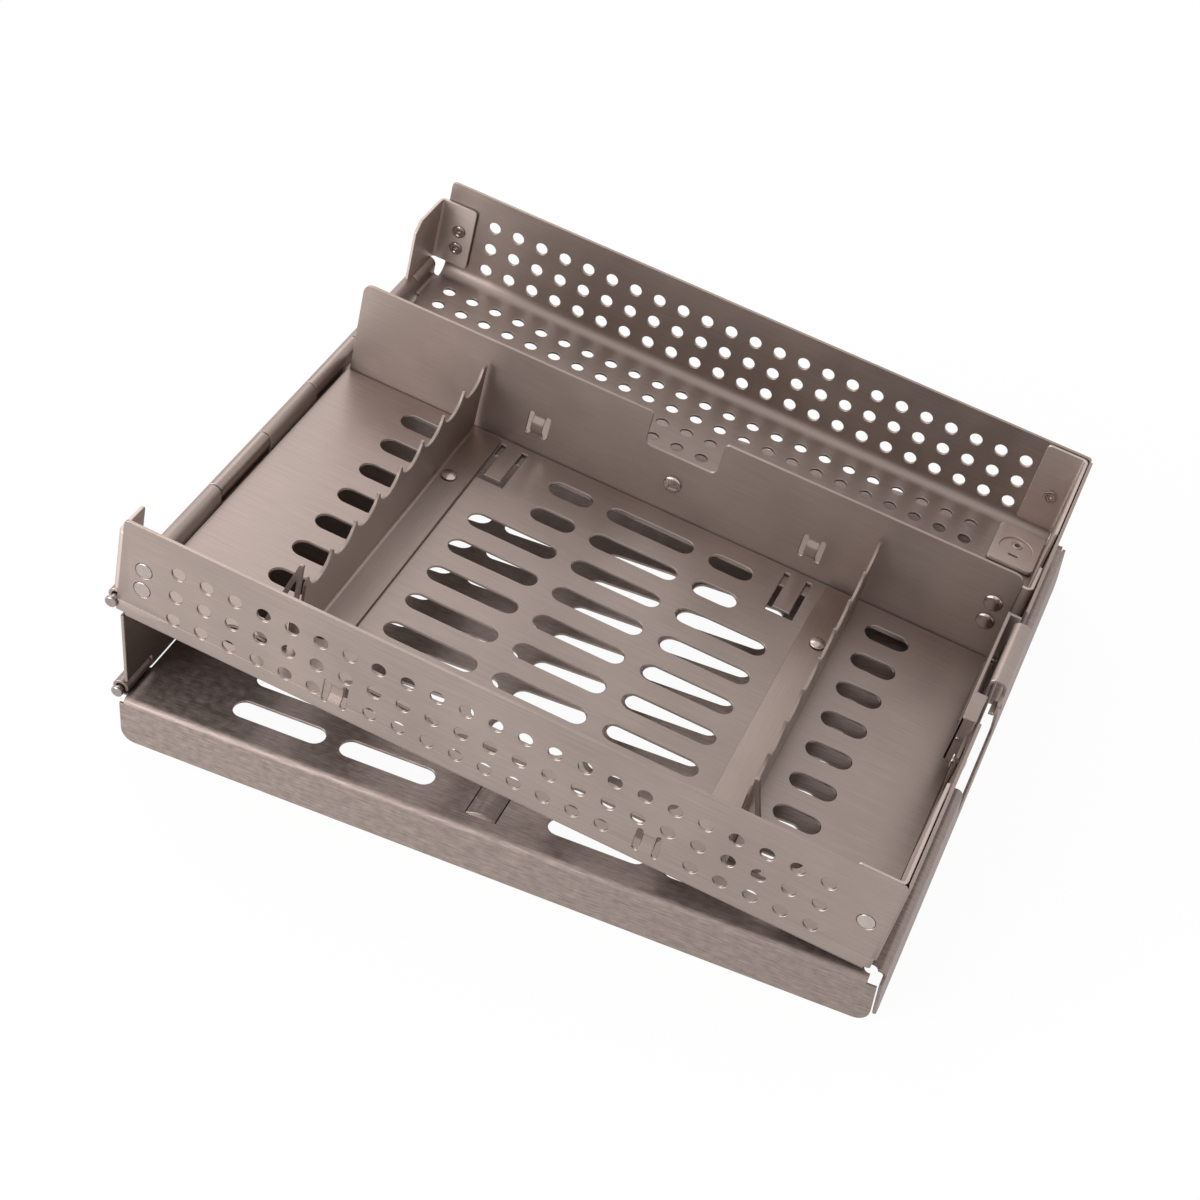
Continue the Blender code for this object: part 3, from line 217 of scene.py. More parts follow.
def blank(outlines, looks, thickness=SHEET):
    """A flat sheet cut to outlines, its skin on z = 0 and its body above, with eased edges."""
    edge = looks.edge / MM
    curve = bpy.data.curves.new("blank", "CURVE")
    curve.dimensions = "2D"
    curve.fill_mode = "BOTH"
    curve.extrude = thickness / 2 - edge
    curve.bevel_depth = edge
    curve.bevel_resolution = 0
    curve.offset = -edge
    for outline in outlines:
        line = curve.splines.new("POLY")
        line.points.add(len(outline) - 1)
        line.points.foreach_set("co", [value for u, v in outline for value in (u, v, 0, 1)])
        line.use_cyclic_u = True
    holder = linked("blank", curve)
    bpy.context.view_layer.update()
    data = bpy.data.meshes.new_from_object(holder)
    mesh = bmesh.new()
    mesh.from_mesh(data)
    bpy.data.objects.remove(holder)
    bpy.data.curves.remove(curve)
    bpy.data.meshes.remove(data)
    bmesh.ops.remove_doubles(mesh, verts=mesh.verts, dist=1e-4)
    bmesh.ops.translate(mesh, verts=mesh.verts, vec=(0, 0, thickness / 2))
    bmesh.ops.recalc_face_normals(mesh, faces=mesh.faces)
    return mesh


def within(point, region):
    low_u, high_u, low_v, high_v = region
    return low_u < point.x < high_u and low_v < point.y < high_v


def crease(mesh, region, along, places):
    """Adds edge lines across the sheet at the given distances, in and beside a region."""
    faces = []
    for face in mesh.faces:
        us, vs = [v.co.x for v in face.verts], [v.co.y for v in face.verts]
        if (min(us) < region[1] + 1 and max(us) > region[0] - 1
                and min(vs) < region[3] + 1 and max(vs) > region[2] - 1):
            faces.append(face)
    edges = {edge for face in faces for edge in face.edges}
    verts = {vert for face in faces for vert in face.verts}
    geometry = [*verts, *edges, *faces]
    direction = Vector((*along, 0))
    for place in places:
        cut = bmesh.ops.bisect_plane(mesh, geom=geometry, dist=1e-4,
                                     plane_co=direction * place, plane_no=direction)
        geometry = cut["geom"]


def roll(point, bend):
    """Where a point of the sheet goes when the bend is made."""
    along, up = Vector((*bend.along, 0)), Vector((0, 0, bend.up))
    reach = point.dot(along) - bend.start
    length = bend.radius * bend.sweep
    beside = point - along * point.dot(along) - Vector((0, 0, point.z))
    beyond = reach - length if reach > length or point.y > bend.stiff_from else 0
    angle = bend.sweep if beyond else reach / bend.radius
    spoke = (along * math.sin(angle) - up * math.cos(angle)) * (bend.radius - point.z * bend.up)
    onward = (along * math.cos(angle) + up * math.sin(angle)) * beyond
    return beside + along * bend.start + up * bend.radius + spoke + onward


def fold(mesh, bends, facet=math.radians(11)):
    """Creases the flat sheet at every bend, notes its flat places, then rolls it up."""
    for bend in bends:
        length = bend.radius * bend.sweep
        steps = max(4, round(bend.sweep / facet))
        places = [bend.start + length * step / steps for step in range(steps + 1)]
        crease(mesh, bend.region, bend.along, [places[0] - 0.35, *places, places[-1] + 0.35])
    note_flat(mesh)
    flaps = [[vert for vert in mesh.verts if within(vert.co, bend.region)] for bend in bends]
    for bend, flap in zip(bends, flaps):
        for vert in flap:
            if vert.co.dot(Vector((*bend.along, 0))) > bend.start:
                vert.co = roll(vert.co.copy(), bend)


def note_flat(mesh):
    """Keeps each face corner's flat place, in metres, so that the grain follows the folds."""
    layer = mesh.loops.layers.uv.get("flat") or mesh.loops.layers.uv.new("flat")
    for face in mesh.faces:
        for loop in face.loops:
            loop[layer].uv = loop.vert.co.xy * MM


def press(mesh, region, depth_at):
    """Pushes the points of a region along z by depth_at(u, v)."""
    for vert in mesh.verts:
        if within(vert.co, region):
            vert.co.z += depth_at(vert.co.x, vert.co.y)


def smooth_step(value):
    value = min(1.0, max(0.0, value))
    return value * value * (3 - 2 * value)


def lance(mesh, centre_u, centre_v, way):
    """Presses the strip between a clip's two slots out of the sheet."""
    half = CLIP_HALF - CLIP_SLOT_WIDTH / 2
    high = CLIP_HEIGHT / 2 - CLIP_SLOT_WIDTH / 2
    region = (centre_u - half - 0.2, centre_u + half + 0.2, centre_v - high, centre_v + high)
    rises = [CLIP_RAMP * step / 6 for step in range(7)]
    places = [centre_v - high + rise for rise in rises]
    places += [centre_v + high - rise for rise in rises]
    crease(mesh, region, (0, 1), places)
    press(mesh, region, lambda u, v: way * CLIP_BULGE
          * smooth_step((high - abs(v - centre_v)) / CLIP_RAMP))


def clip_slots(centre_u, centre_v):
    return [upright_slot(centre_u + side * CLIP_HALF, centre_v - CLIP_HEIGHT / 2,
                         centre_v + CLIP_HEIGHT / 2, CLIP_SLOT_WIDTH) for side in (-1, 1)]


def turned(profile, sides=32):
    """A body turned about z from (radius, z) points that start and end on the axis."""
    mesh = bmesh.new()
    points = [mesh.verts.new((radius, 0, z)) for radius, z in profile]
    edges = [mesh.edges.new(pair) for pair in zip(points, points[1:])]
    bmesh.ops.spin(mesh, geom=points + edges, cent=(0, 0, 0), axis=(0, 0, 1),
                   angle=2 * math.pi, steps=sides, use_merge=True)
    bmesh.ops.remove_doubles(mesh, verts=mesh.verts, dist=1e-4)
    bmesh.ops.recalc_face_normals(mesh, faces=mesh.faces)
    return mesh


# Places


def axes(origin, across, up, through):
    """The millimetre frame whose u, v and w run along three directions from an origin."""
    turn = Matrix((across, up, through)).transposed().to_4x4()
    return Matrix.Translation(origin) @ turn


def hinge_frame():
    axis = Vector(frame["joints"][0]["pos_m"])
    return Matrix.Translation((axis.x, -TRAY_WIDTH / 2 * MM, 0)) @ Matrix.Scale(MM, 4)


def tray_frame():
    axis = Vector(frame["joints"][1]["pos_m"])
    place = Matrix.Translation((axis.x, -TRAY_WIDTH / 2 * MM, axis.z))
    corner = Matrix.Translation((1.2, 0, -4.2))
    return place @ Matrix.Rotation(TRAY_TILT, 4, "Y") @ Matrix.Scale(MM, 4) @ corner


X, Y, Z = Vector((1, 0, 0)), Vector((0, 1, 0)), Vector((0, 0, 1))


def piece(name, mesh, place, body, nodes, key):
    """Makes a mesh an object that rides on a body and stands for nodes. key: its material."""
    mesh.transform(place)
    bmesh.ops.recalc_face_normals(mesh, faces=mesh.faces)
    data = bpy.data.meshes.new(name)
    mesh.to_mesh(data)
    mesh.free()
    data.shade_smooth()
    data.set_sharp_from_angle(angle=math.radians(30))
    obj = linked(name, data)
    data.materials.append(settings_material(key))
    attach(obj, body)
    if nodes:
        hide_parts(*nodes)
    return obj


def merged(parts):
    """One mesh holding copies of several (mesh, place) parts."""
    whole = bmesh.new()
    for mesh, place in parts:
        mesh.transform(place)
        holder = bpy.data.meshes.new("part")
        mesh.to_mesh(holder)
        mesh.free()
        whole.from_mesh(holder)
        bpy.data.meshes.remove(holder)
    return whole


# Materials


def linear(text):
    """An sRGB hex colour as linear values."""
    values = [int(text[index:index + 2], 16) / 255 for index in (0, 2, 4)]
    return tuple(v / 12.92 if v <= 0.04045 else ((v + 0.055) / 1.055) ** 2.4 for v in values)


def add_node(tree, kind, links=(), **settings):
    """Adds a node, sets its properties and input values, and links (input, socket) pairs."""
    node = tree.nodes.new(kind)
    for key, value in settings.items():
        if hasattr(node, key):
            setattr(node, key, value)
        else:
            node.inputs[key.replace("_", " ")].default_value = value
    for key, socket in links:
        tree.links.new(socket, node.inputs[key])
    return node


def principled(name):
    """A new material with its node tree and its main shader."""
    material = bpy.data.materials.new(name)
    material.use_nodes = True
    return material, material.node_tree, material.node_tree.nodes["Principled BSDF"]


def stainless_sheet(name, colour, roughness, grain=1.0, mottle=0.25, cloud_scale=28.0,
                    streaks=(60, 2800, 1)):
    """Stainless steel sheet, type 304, rolled and brushed to a satin face.

    The belt leaves fine parallel scratches, which the eye sees as short light and dark streaks
    along the grain, and slow cloudy changes of gloss where the belt pressed more or less.
    """
    material, tree, shader = principled(name)
    flat = add_node(tree, "ShaderNodeUVMap", uv_map="flat")
    # Real scratches are about 0.05 mm apart, too fine to show. These are 0.36 mm apart and
    # 17 mm long, in clouds 36 mm wide. On the lid it is 0.45 mm, 6 mm and 2.4 mm.
    mapping = add_node(tree, "ShaderNodeMapping", [("Vector", flat.outputs["UV"])],
                       Scale=streaks)
    scratches = add_node(tree, "ShaderNodeTexNoise", [("Vector", mapping.outputs["Vector"])],
                         Scale=1.0, Detail=3.0, Roughness=0.6)
    clouds = add_node(tree, "ShaderNodeTexNoise", [("Vector", flat.outputs["UV"])],
                      Scale=cloud_scale, Detail=4.0, Roughness=0.55)
    shade = add_node(tree, "ShaderNodeMapRange", [("Value", scratches.outputs["Fac"])],
                     From_Min=0.3, From_Max=0.7, To_Min=1 - 0.10 * grain,
                     To_Max=1 + 0.06 * grain)
    cloud = add_node(tree, "ShaderNodeMapRange", [("Value", clouds.outputs["Fac"])],
                     From_Min=0.3, From_Max=0.7, To_Min=1 - 0.4 * mottle,
                     To_Max=1 + 0.2 * mottle)
    both = add_node(tree, "ShaderNodeMath", [(0, shade.outputs["Result"]),
                                             (1, cloud.outputs["Result"])], operation="MULTIPLY")
    tint = add_node(tree, "ShaderNodeVectorMath", [("Scale", both.outputs["Value"])],
                    operation="SCALE", Vector=colour)
    gloss = add_node(tree, "ShaderNodeMapRange", [("Value", clouds.outputs["Fac"])],
                     From_Min=0.3, From_Max=0.7, To_Min=roughness * (1 - 0.25 * mottle),
                     To_Max=roughness * (1 + 0.35 * mottle))
    bump = add_node(tree, "ShaderNodeBump", [("Height", scratches.outputs["Fac"])],
                    Strength=0.25 * grain, Distance=0.00003)
    grain_way = add_node(tree, "ShaderNodeTangent", direction_type="UV_MAP", uv_map="flat")
    for socket, source in (("Base Color", tint.outputs["Vector"]),
                           ("Roughness", gloss.outputs["Result"]),
                           ("Normal", bump.outputs["Normal"]),
                           ("Tangent", grain_way.outputs["Tangent"])):
        tree.links.new(source, shader.inputs[socket])
    for socket, value in (("Metallic", 1.0), ("Anisotropic", 0.7),
                          ("Anisotropic Rotation", 0.25)):
        shader.inputs[socket].default_value = value
    return material


def turned_stainless(name, colour, roughness):
    """Stainless steel wire and rivets, drawn or headed bright.

    Handling leaves faint marks about 1 mm wide, which the eye sees as slightly uneven shine.
    """
    material, tree, shader = principled(name)
    where = add_node(tree, "ShaderNodeTexCoord")
    marks = add_node(tree, "ShaderNodeTexNoise", [("Vector", where.outputs["Object"])],
                     Scale=900.0, Detail=3.0)
    shade = add_node(tree, "ShaderNodeMapRange", [("Value", marks.outputs["Fac"])],
                     To_Min=0.82, To_Max=1.12)
    tint = add_node(tree, "ShaderNodeVectorMath", [("Scale", shade.outputs["Result"])],
                    operation="SCALE", Vector=colour)
    tree.links.new(tint.outputs["Vector"], shader.inputs["Base Color"])
    shader.inputs["Roughness"].default_value = roughness
    shader.inputs["Metallic"].default_value = 1.0
    return material


def settings_material(key):
    """The named material, made from the panel's colours when first asked for."""
    if key in bpy.data.materials:
        return bpy.data.materials[key]
    looks = bpy.context.scene.cassette_looks
    makers = {
        "satin_stainless_tray": lambda: stainless_sheet(key, looks.sheet_colour, 0.40),
        "satin_stainless_wall": lambda: stainless_sheet(key, looks.sheet_colour, 0.46, 0.8),
        "satin_stainless_comb": lambda: stainless_sheet(key, looks.sheet_colour, 0.42, 0.7),
        # Same sheet as the walls, with a lighter colour as painted sheen for the light the angles
        # and the pad catch.
        "satin_stainless_bracket_painted_sheen": lambda: stainless_sheet(
            key, looks.bracket_painted_sheen_colour, 0.44, 0.8),
        "coarse_stainless_lid": lambda: stainless_sheet(
            key, looks.lid_colour, 0.46, 2.6, 0.35, cloud_scale=420.0, streaks=(170, 2200, 1)),
        "drawn_stainless_pin": lambda: turned_stainless(key, looks.pin_colour, 0.26),
        "headed_stainless_rivet": lambda: turned_stainless(key, looks.rivet_colour, 0.24),
    }
    return makers[key]()


# Pieces of the tray


def front_v(z, radius=BEND):
    """Flat place of a height on the front wall."""
    return 2 * radius - radius * QUARTER - z


def back_v(z):
    return TRAY_WIDTH - front_v(z, BACK_BEND)


def end_u(z):
    """Flat place of a height on the latch end wall."""
    return TRAY_LENGTH - 2 * BEND + BEND * QUARTER + z


def wall_corners(radius):
    """Flat corners of the front wall and half of the latch end, for one radius of the bend."""
    low, top = radius, TRAY_HEIGHT
    wall_right, outer = TRAY_LENGTH - GAP, SHEET + GAP
    base, brim = front_v(low, radius), front_v(top, radius)
    return [(FLOOR_LEFT, low, 0), (FLOOR_LEFT, base, 0), (0, base, 0), (0, brim, 1.5),
            (wall_right, brim, 1), (wall_right, base, 0), (RELIEF_X, base, 0),
            (RELIEF_X, RELIEF_Y, 0.2), (TRAY_LENGTH - BEND, RELIEF_Y, 0),
            (end_u(BEND), RELIEF_Y, 0), (end_u(END_STEP_Z), outer, 0), (end_u(top), outer, 1.5)]


def tray_outline():
    left, top = FLOOR_LEFT, TRAY_HEIGHT
    front = wall_corners(BEND)
    back = [(u, TRAY_WIDTH - v, radius) for u, v, radius in reversed(wall_corners(BACK_BEND))]
    notch = [(end_u(top), NOTCH_FRONT, 1), (end_u(NOTCH_BOTTOM), NOTCH_FRONT, 2),
             (end_u(NOTCH_BOTTOM), NOTCH_BACK, 2), (end_u(top), NOTCH_BACK, 1)]
    knuckles = []
    tab_end = -TAB_BEND - BEND * QUARTER - TAB_RISE - BORE * KNUCKLE_SWEEP
    for start, end in reversed(OUTER_SPANS):
        start = max(start, BEND)
        knuckles += [(left, end, 0), (tab_end, end, 0), (tab_end, start, 0)]
        knuckles += [(left, start, 0)] if start > BEND else []
    return rounded(front + notch + back + knuckles)


def tray_holes(hole):
    """Perforations, clips, window and rivet holes of the flat tray."""
    holes = []
    for column in range(HOLE_COLUMNS):
        u = WALL_HOLE_X + column * HOLE_PITCH
        for row in range(WALL_HOLE_ROWS):
            z = WALL_HOLE_Z + row * HOLE_PITCH
            holes.append(circle(u, back_v(z), hole / 2))
            if row or all(abs(u - clip) > CLIP_CLEARANCE for clip in CLIP_X):
                holes.append(circle(u, front_v(z), hole / 2))
        u = STRIP_HOLE_X + column * HOLE_PITCH
        for row in range(STRIP_HOLE_ROWS):
            holes.append(circle(u, STRIP_HOLE_Y - row * HOLE_PITCH, hole / 2))
    for clip in CLIP_X:
        holes += clip_slots(clip, front_v(WALL_CLIP_Z))
    holes += [circle(x, front_v(z), RIVET_SEAT, 32) for x, z in WALL_RIVETS]
    holes += [circle(x, back_v(z), RIVET_SEAT, 32) for x, z in BACK_RIVETS]
    holes += [circle(end_u(LATCH_RIVET_Z), y, RIVET_HOLE) for y in LATCH_RIVETS_Y]
    window_back = DIVIDER_Y - 7
    holes.append(rounded([(9, 7, 3), (201, 7, 3), (201, window_back, 3), (9, window_back, 3)]))
    return holes


def build_tray_shell(looks):
    mesh = blank([tray_outline(), *tray_holes(looks.hole_diameter / MM)], looks)
    for clip in CLIP_X:
        lance(mesh, clip, front_v(WALL_CLIP_Z), 1)
    line = front_v(GROOVE_Z)
    groove = (-1, TRAY_LENGTH + 1, front_v(GROOVE_Z + 0.25), front_v(GROOVE_Z - 0.25))
    crease(mesh, groove, (0, 1), [line - GROOVE_HALF, line, line + GROOVE_HALF])
    press(mesh, groove, lambda u, v: GROOVE_DEPTH * max(0, 1 - abs(v - line) / GROOVE_HALF))
    tabs = (-FAR, FLOOR_LEFT - 0.01, BEND - 0.01, TRAY_WIDTH - BACK_BEND + 0.01)
    right, back = TRAY_LENGTH - BEND, TRAY_WIDTH - BACK_BEND
    bends = [
        Bend(tabs, TAB_BEND + BEND * QUARTER + TAB_RISE, (-1, 0), -1, BORE, KNUCKLE_SWEEP),
        Bend(tabs, TAB_BEND, (-1, 0), 1, BEND),
        Bend((right, FAR, -FAR, FAR), right, (1, 0), 1, BEND),
        Bend((-0.5, TRAY_LENGTH + 0.4, -FAR, BEND), -BEND, (0, -1), 1, BEND),
        Bend((-0.5, TRAY_LENGTH + 0.4, back, FAR), back, (0, 1), 1, BACK_BEND),
    ]
    fold(mesh, bends)
    piece("tray_sheet", mesh, tray_frame(), "tray", ["tray_shell"],
          "satin_stainless_tray")


def floor_slots():
    """(left, right, y) of every slot in the instrument floor."""
    slots = []
    for row in range(SLOT_ROWS):
        y = SLOT_BACK_Y - row * SLOT_PITCH_Y
        for column in (-1, 0, 1):
            centre = BAY_CENTRE_X + column * SLOT_PITCH_X
            left, right = centre - SLOT_HALF, centre + SLOT_HALF
            if row < 2 and column == -1:
                left = right - SHORT_SLOT
            if row < 2 and column == 1:
                right = left + SHORT_SLOT
            slots.append((left, right, y))
        for side in (-OUTER_SLOT_X, OUTER_SLOT_X):
            centre = BAY_CENTRE_X + side
            slots.append((centre - OUTER_SLOT_HALF, centre + OUTER_SLOT_HALF, y))
    return slots


def u_slit(left, right, open_end, closed_end, slit):
    """The slit round a tongue, open towards open_end, that runs outside left and right."""
    way = 1 if closed_end > open_end else -1
    inner = closed_end - way * slit
    return [(left, open_end), (left, closed_end), (right, closed_end), (right, open_end),
            (right - slit, open_end), (right - slit, inner), (left + slit, inner),
            (left + slit, open_end)]


def build_insert_floor(looks):
    back = DIVIDER_Y - GAP
    outline = rounded([(2.0, 2.1, 1.5), (207.9, 2.1, 1.5), (207.9, back, 1), (2.0, back, 1)])
    holes = [slot(a, b, y, SLOT_WIDTH) for a, b, y in floor_slots()]
    for centre in TONGUES_X:
        holes.append(u_slit(centre - 4.1, centre + 4.1, back - 2.5, back - 20.0, 1.5))
    holes += [circle(BAY_CENTRE_X + side * COMB_RIVET_X, y, RIVET_HOLE)
              for side in (-1, 1) for y in COMB_RIVETS_Y]
    mesh = blank([outline, *holes], looks)
    for centre in TONGUES_X:
        root = back - 2.6
        region = (centre - 2.7, centre + 2.7, back - 18.6, root)
        crease(mesh, region, (0, 1), [root - 2 * step for step in range(8)])
        press(mesh, region, lambda u, v: 0.7 * smooth_step((root - v) / 14))
    note_flat(mesh)
    piece("instrument_floor", mesh, tray_frame() @ Matrix.Translation((0, 0, INSERT_BOTTOM)),
          "tray", ["insert_floor"], "satin_stainless_tray")


def build_divider(looks):
    outline = rounded([
        (DIVIDER_LEFT, INSERT_BOTTOM, 1), (DIVIDER_RIGHT, INSERT_BOTTOM, 1),
        (DIVIDER_RIGHT, DIVIDER_TOP, 3), (CUTOUT_RIGHT, DIVIDER_TOP, 1.5),
        (CUTOUT_RIGHT, CUTOUT_BOTTOM, 2), (CUTOUT_LEFT, CUTOUT_BOTTOM, 2),
        (CUTOUT_LEFT, DIVIDER_TOP, 1.5), (DIVIDER_LEFT, DIVIDER_TOP, 3),
    ])
    holes = [circle(x, z, RIVET_HOLE) for x, z in (*SIDE_BRACKET_RIVETS, FOOT_BRACKET_RIVET)]
    for clip in CLIP_X:
        holes += clip_slots(clip, DIVIDER_CLIP_Z)
    mesh = blank([outline, *holes], looks)
    for clip in CLIP_X:
        lance(mesh, clip, DIVIDER_CLIP_Z, -1)
    note_flat(mesh)
    place = tray_frame() @ axes((0, DIVIDER_Y, 0), X, Z, Y)
    piece("divider_sheet", mesh, place, "tray", ["divider_wall"],
          "satin_stainless_wall")


def angle_piece(name, node, corner, first, second, reaches, span, holes, looks, clipped=None):
    """An L of sheet: one leg along first, one along second, its skin outside the corner."""
    upward = first.cross(second)
    upward = Vector((abs(upward.x), abs(upward.y), abs(upward.z)))
    far = BEND - BEND * QUARTER - (reaches[1] - BEND)
    near, (low, high) = reaches[0], span
    corners = [(far, low, 1.2), (near, low, 1.2), (near, high, 1.2), (far, high, 1.2)]
    if clipped:
        corners[3:] = [(far + clipped, high, 0.6), (far, high - clipped, 0.6)]
    mesh = blank([rounded(corners), *[circle(u, v, RIVET_HOLE) for u, v in holes]], looks)
    fold(mesh, [Bend((-FAR, BEND, -FAR, FAR), -BEND, (-1, 0), 1, BEND)])
    place = tray_frame() @ axes(corner, first, upward, second)
    # The angles take the lighter sheet material: painted sheen, not a different steel.
    piece(name, mesh, place, "tray", [node], "satin_stainless_bracket_painted_sheen")


def build_brackets(looks):
    outer_left, inside_right = -2.3, TRAY_LENGTH - SHEET - GAP
    front, back = SHEET + GAP, TRAY_WIDTH - SHEET - GAP
    left_front = [(x - outer_left, z) for x, z in WALL_RIVETS[:2]]
    left_back = [(x - outer_left, z) for x, z in BACK_RIVETS[:2]]
    right_front = [(inside_right - x, z) for x, z in WALL_RIVETS[2:]]
    right_back = [(inside_right - x, z) for x, z in BACK_RIVETS[2:]]
    angle_piece("bracket_angle_front_left", "bracket_front_left", (outer_left, front, 0), X, Y,
                (12.1, 12.0), (7.6, 27.1), left_front, looks)
    angle_piece("bracket_angle_back_left", "bracket_back_left", (outer_left, back, 0), X, -Y,
                (12.4, 18.7), (5.2, 26.6), left_back, looks, 3.0)
    angle_piece("bracket_angle_front_right", "bracket_front_right", (inside_right, front, 0),
                -X, Y, (12.6, 38.0), (2.6, 32.6), right_front, looks)
    angle_piece("bracket_angle_back_right", "bracket_back_right", (inside_right, back, 0),
                -X, -Y, (12.6, 38.0), (4.0, 32.6), right_back, looks)
    behind = DIVIDER_Y + SHEET + GAP
    side = [(inside_right - x, z) for x, z in SIDE_BRACKET_RIVETS]
    angle_piece("divider_angle_side", "divider_side_bracket", (inside_right, behind, 0), -X, Y,
                (12.0, 12.0), (6, 29), side, looks)
    x, z = FOOT_BRACKET_RIVET
    angle_piece("divider_angle_foot", "divider_foot_bracket", (0, behind, INSERT_BOTTOM), Z, Y,
                (15.5, 10.0), (x - 8, x + 8), [(z - INSERT_BOTTOM, x)], looks)


def comb_outline():
    """Flat rail with scallops on top, foot flange below and gusset at its front end."""
    tip, dip, fold_v = 26.0, 20.8, COMB_BOTTOM + BEND
    land = SLOT_PITCH_Y / 2
    half = land - 0.35
    depth = tip - dip
    radius = (half * half + depth * depth) / (2 * depth)
    spread = math.degrees(math.asin(half / radius))
    scallops = []
    centre = SLOT_BACK_Y
    while centre - land > COMB_FRONT - 1:
        curve = arc(centre, dip + radius, radius, -90 + spread, -90 - spread, 18)
        scallops += [(u, v, 0) for u, v in curve]
        centre -= SLOT_PITCH_Y
    edge = COMB_FRONT - (BEND - SHEET) * QUARTER
    flange = fold_v - BEND * QUARTER - 8.5
    gusset = [(14.3, 24.0, 0.4), (14.3, 15.6, 0), (COMB_FRONT, 15.0, 0), (edge, 15.0, 0),
              (edge + 1.1, 16.4, 0), (edge + 1.1, 32.4, 0.3), (edge, 32.4, 0.5),
              (edge - 9, 2.4, 1), (edge, 2.4, 0), (edge, 5.2, 0), (COMB_FRONT, 5.2, 0)]
    foot = [(15.9, fold_v, 0), (15.9, flange, 1.5), (COMB_BACK, flange, 1.5),
            (COMB_BACK, fold_v, 0), (COMB_BACK, tip, 0.3)]
    return rounded(foot + scallops + gusset), edge


def build_combs(looks):
    for name, side in (("comb_left", -1), ("comb_right", 1)):
        outline, edge = comb_outline()
        flange_v = COMB_BOTTOM + BEND - BEND * QUARTER - 2.7
        holes = [circle(y, flange_v, RIVET_HOLE) for y in COMB_RIVETS_Y]
        holes.append(rounded([(edge - 0.2, 6.0, 0.4), (edge - 6.4, 6.0, 0.4),
                              (edge - 0.9, 25.0, 0.2), (edge - 0.2, 27.2, 0.2)]))
        mesh = blank([outline, *holes], looks)
        fold(mesh, [
            Bend((15.5, FAR, -FAR, 4.2), -4.2, (0, -1), 1, BEND),
            Bend((-FAR, COMB_FRONT, -FAR, FAR), -COMB_FRONT, (-1, 0), -1, BEND - SHEET,
                 stiff_from=15.05),
        ])
        place = tray_frame() @ axes((BAY_CENTRE_X + side * COMB_OFFSET, 0, 0), Y, Z, -side * X)
        piece(name + "_rail", mesh, place, "tray", [name],
              "satin_stainless_comb")


def build_corner_pad(looks):
    x, y = PAD_X, PAD_Y
    seat = y - 1.5
    outline = rounded([(x - 7.2, y - 9.5, 1.5), (x + 7.2, y - 9.5, 1.5), (x + 7.2, y + 8.5, 1.5),
                       (x - 7.2, y + 8.5, 1.5)])
    plate = blank([outline, circle(x, seat + 2.2, 1.65),
                   slot(x - 1.6, x + 1.6, seat - 2.8, 1.0)], looks)
    rim = blank([outline, circle(x, seat, 5.1, 48)], looks, 0.5)
    ring = turned([(0.9, 0), (1.6, 0), (1.6, 0.8), (1.4, 1.0), (0.9, 1.0), (0.9, 0)], 24)
    mesh = merged([(plate, Matrix.Translation((0, 0, INSERT_BOTTOM))),
                   (rim, Matrix.Translation((0, 0, INSERT_BOTTOM + SHEET))),
                   (ring, Matrix.Translation((x, seat + 2.2, INSERT_BOTTOM)))])
    note_flat(mesh)
    # The pad takes the angles' lighter colour, which is painted sheen.
    piece("corner_pad_plate", mesh, tray_frame(), "tray", ["corner_pad"],
          "satin_stainless_bracket_painted_sheen")


# Hinges and lid


def build_spine(looks):
    low, high = 3.0, HINGE_AXIS_HEIGHT - 5.3
    reach = BORE * KNUCKLE_SWEEP
    bottom, top = [(1.0, low)], [(1.0, high)]
    for start, end in SPINE_SPANS:
        bottom += [(start, low), (start, -reach), (end, -reach), (end, low)]
        upper = HINGE_AXIS_HEIGHT + reach
        top += [(start, high), (start, upper), (end, upper), (end, high)]
    bottom.append((182.0, low))
    top.append((182.0, high))
    mesh = blank([bottom + top[::-1]], looks)
    fold(mesh, [
        Bend((-FAR, FAR, HINGE_AXIS_HEIGHT, FAR), HINGE_AXIS_HEIGHT, (0, 1), -1, BORE,
             KNUCKLE_SWEEP),
        Bend((-FAR, FAR, -FAR, 0), 0, (0, -1), -1, BORE, KNUCKLE_SWEEP),
    ], math.radians(15))
    place = hinge_frame() @ axes((BORE, 0, LID_TOP + BORE), Y, Z, X)
    piece("spine_sheet", mesh, place, "spine", ["spine_plate"],
          "satin_stainless_wall")


def lid_slots():
    """(left, right, y) of the lid's drain slots. The tongue takes one place in the first row."""
    slots = []
    for row in range(SLOT_ROWS):
        y = LID_SLOT_FRONT_Y + row * SLOT_PITCH_Y
        for column, (left, right) in enumerate(LID_SLOT_COLUMNS):
            if row or column != TONGUE_COLUMN:
                slots.append((left, right, y))
    return slots


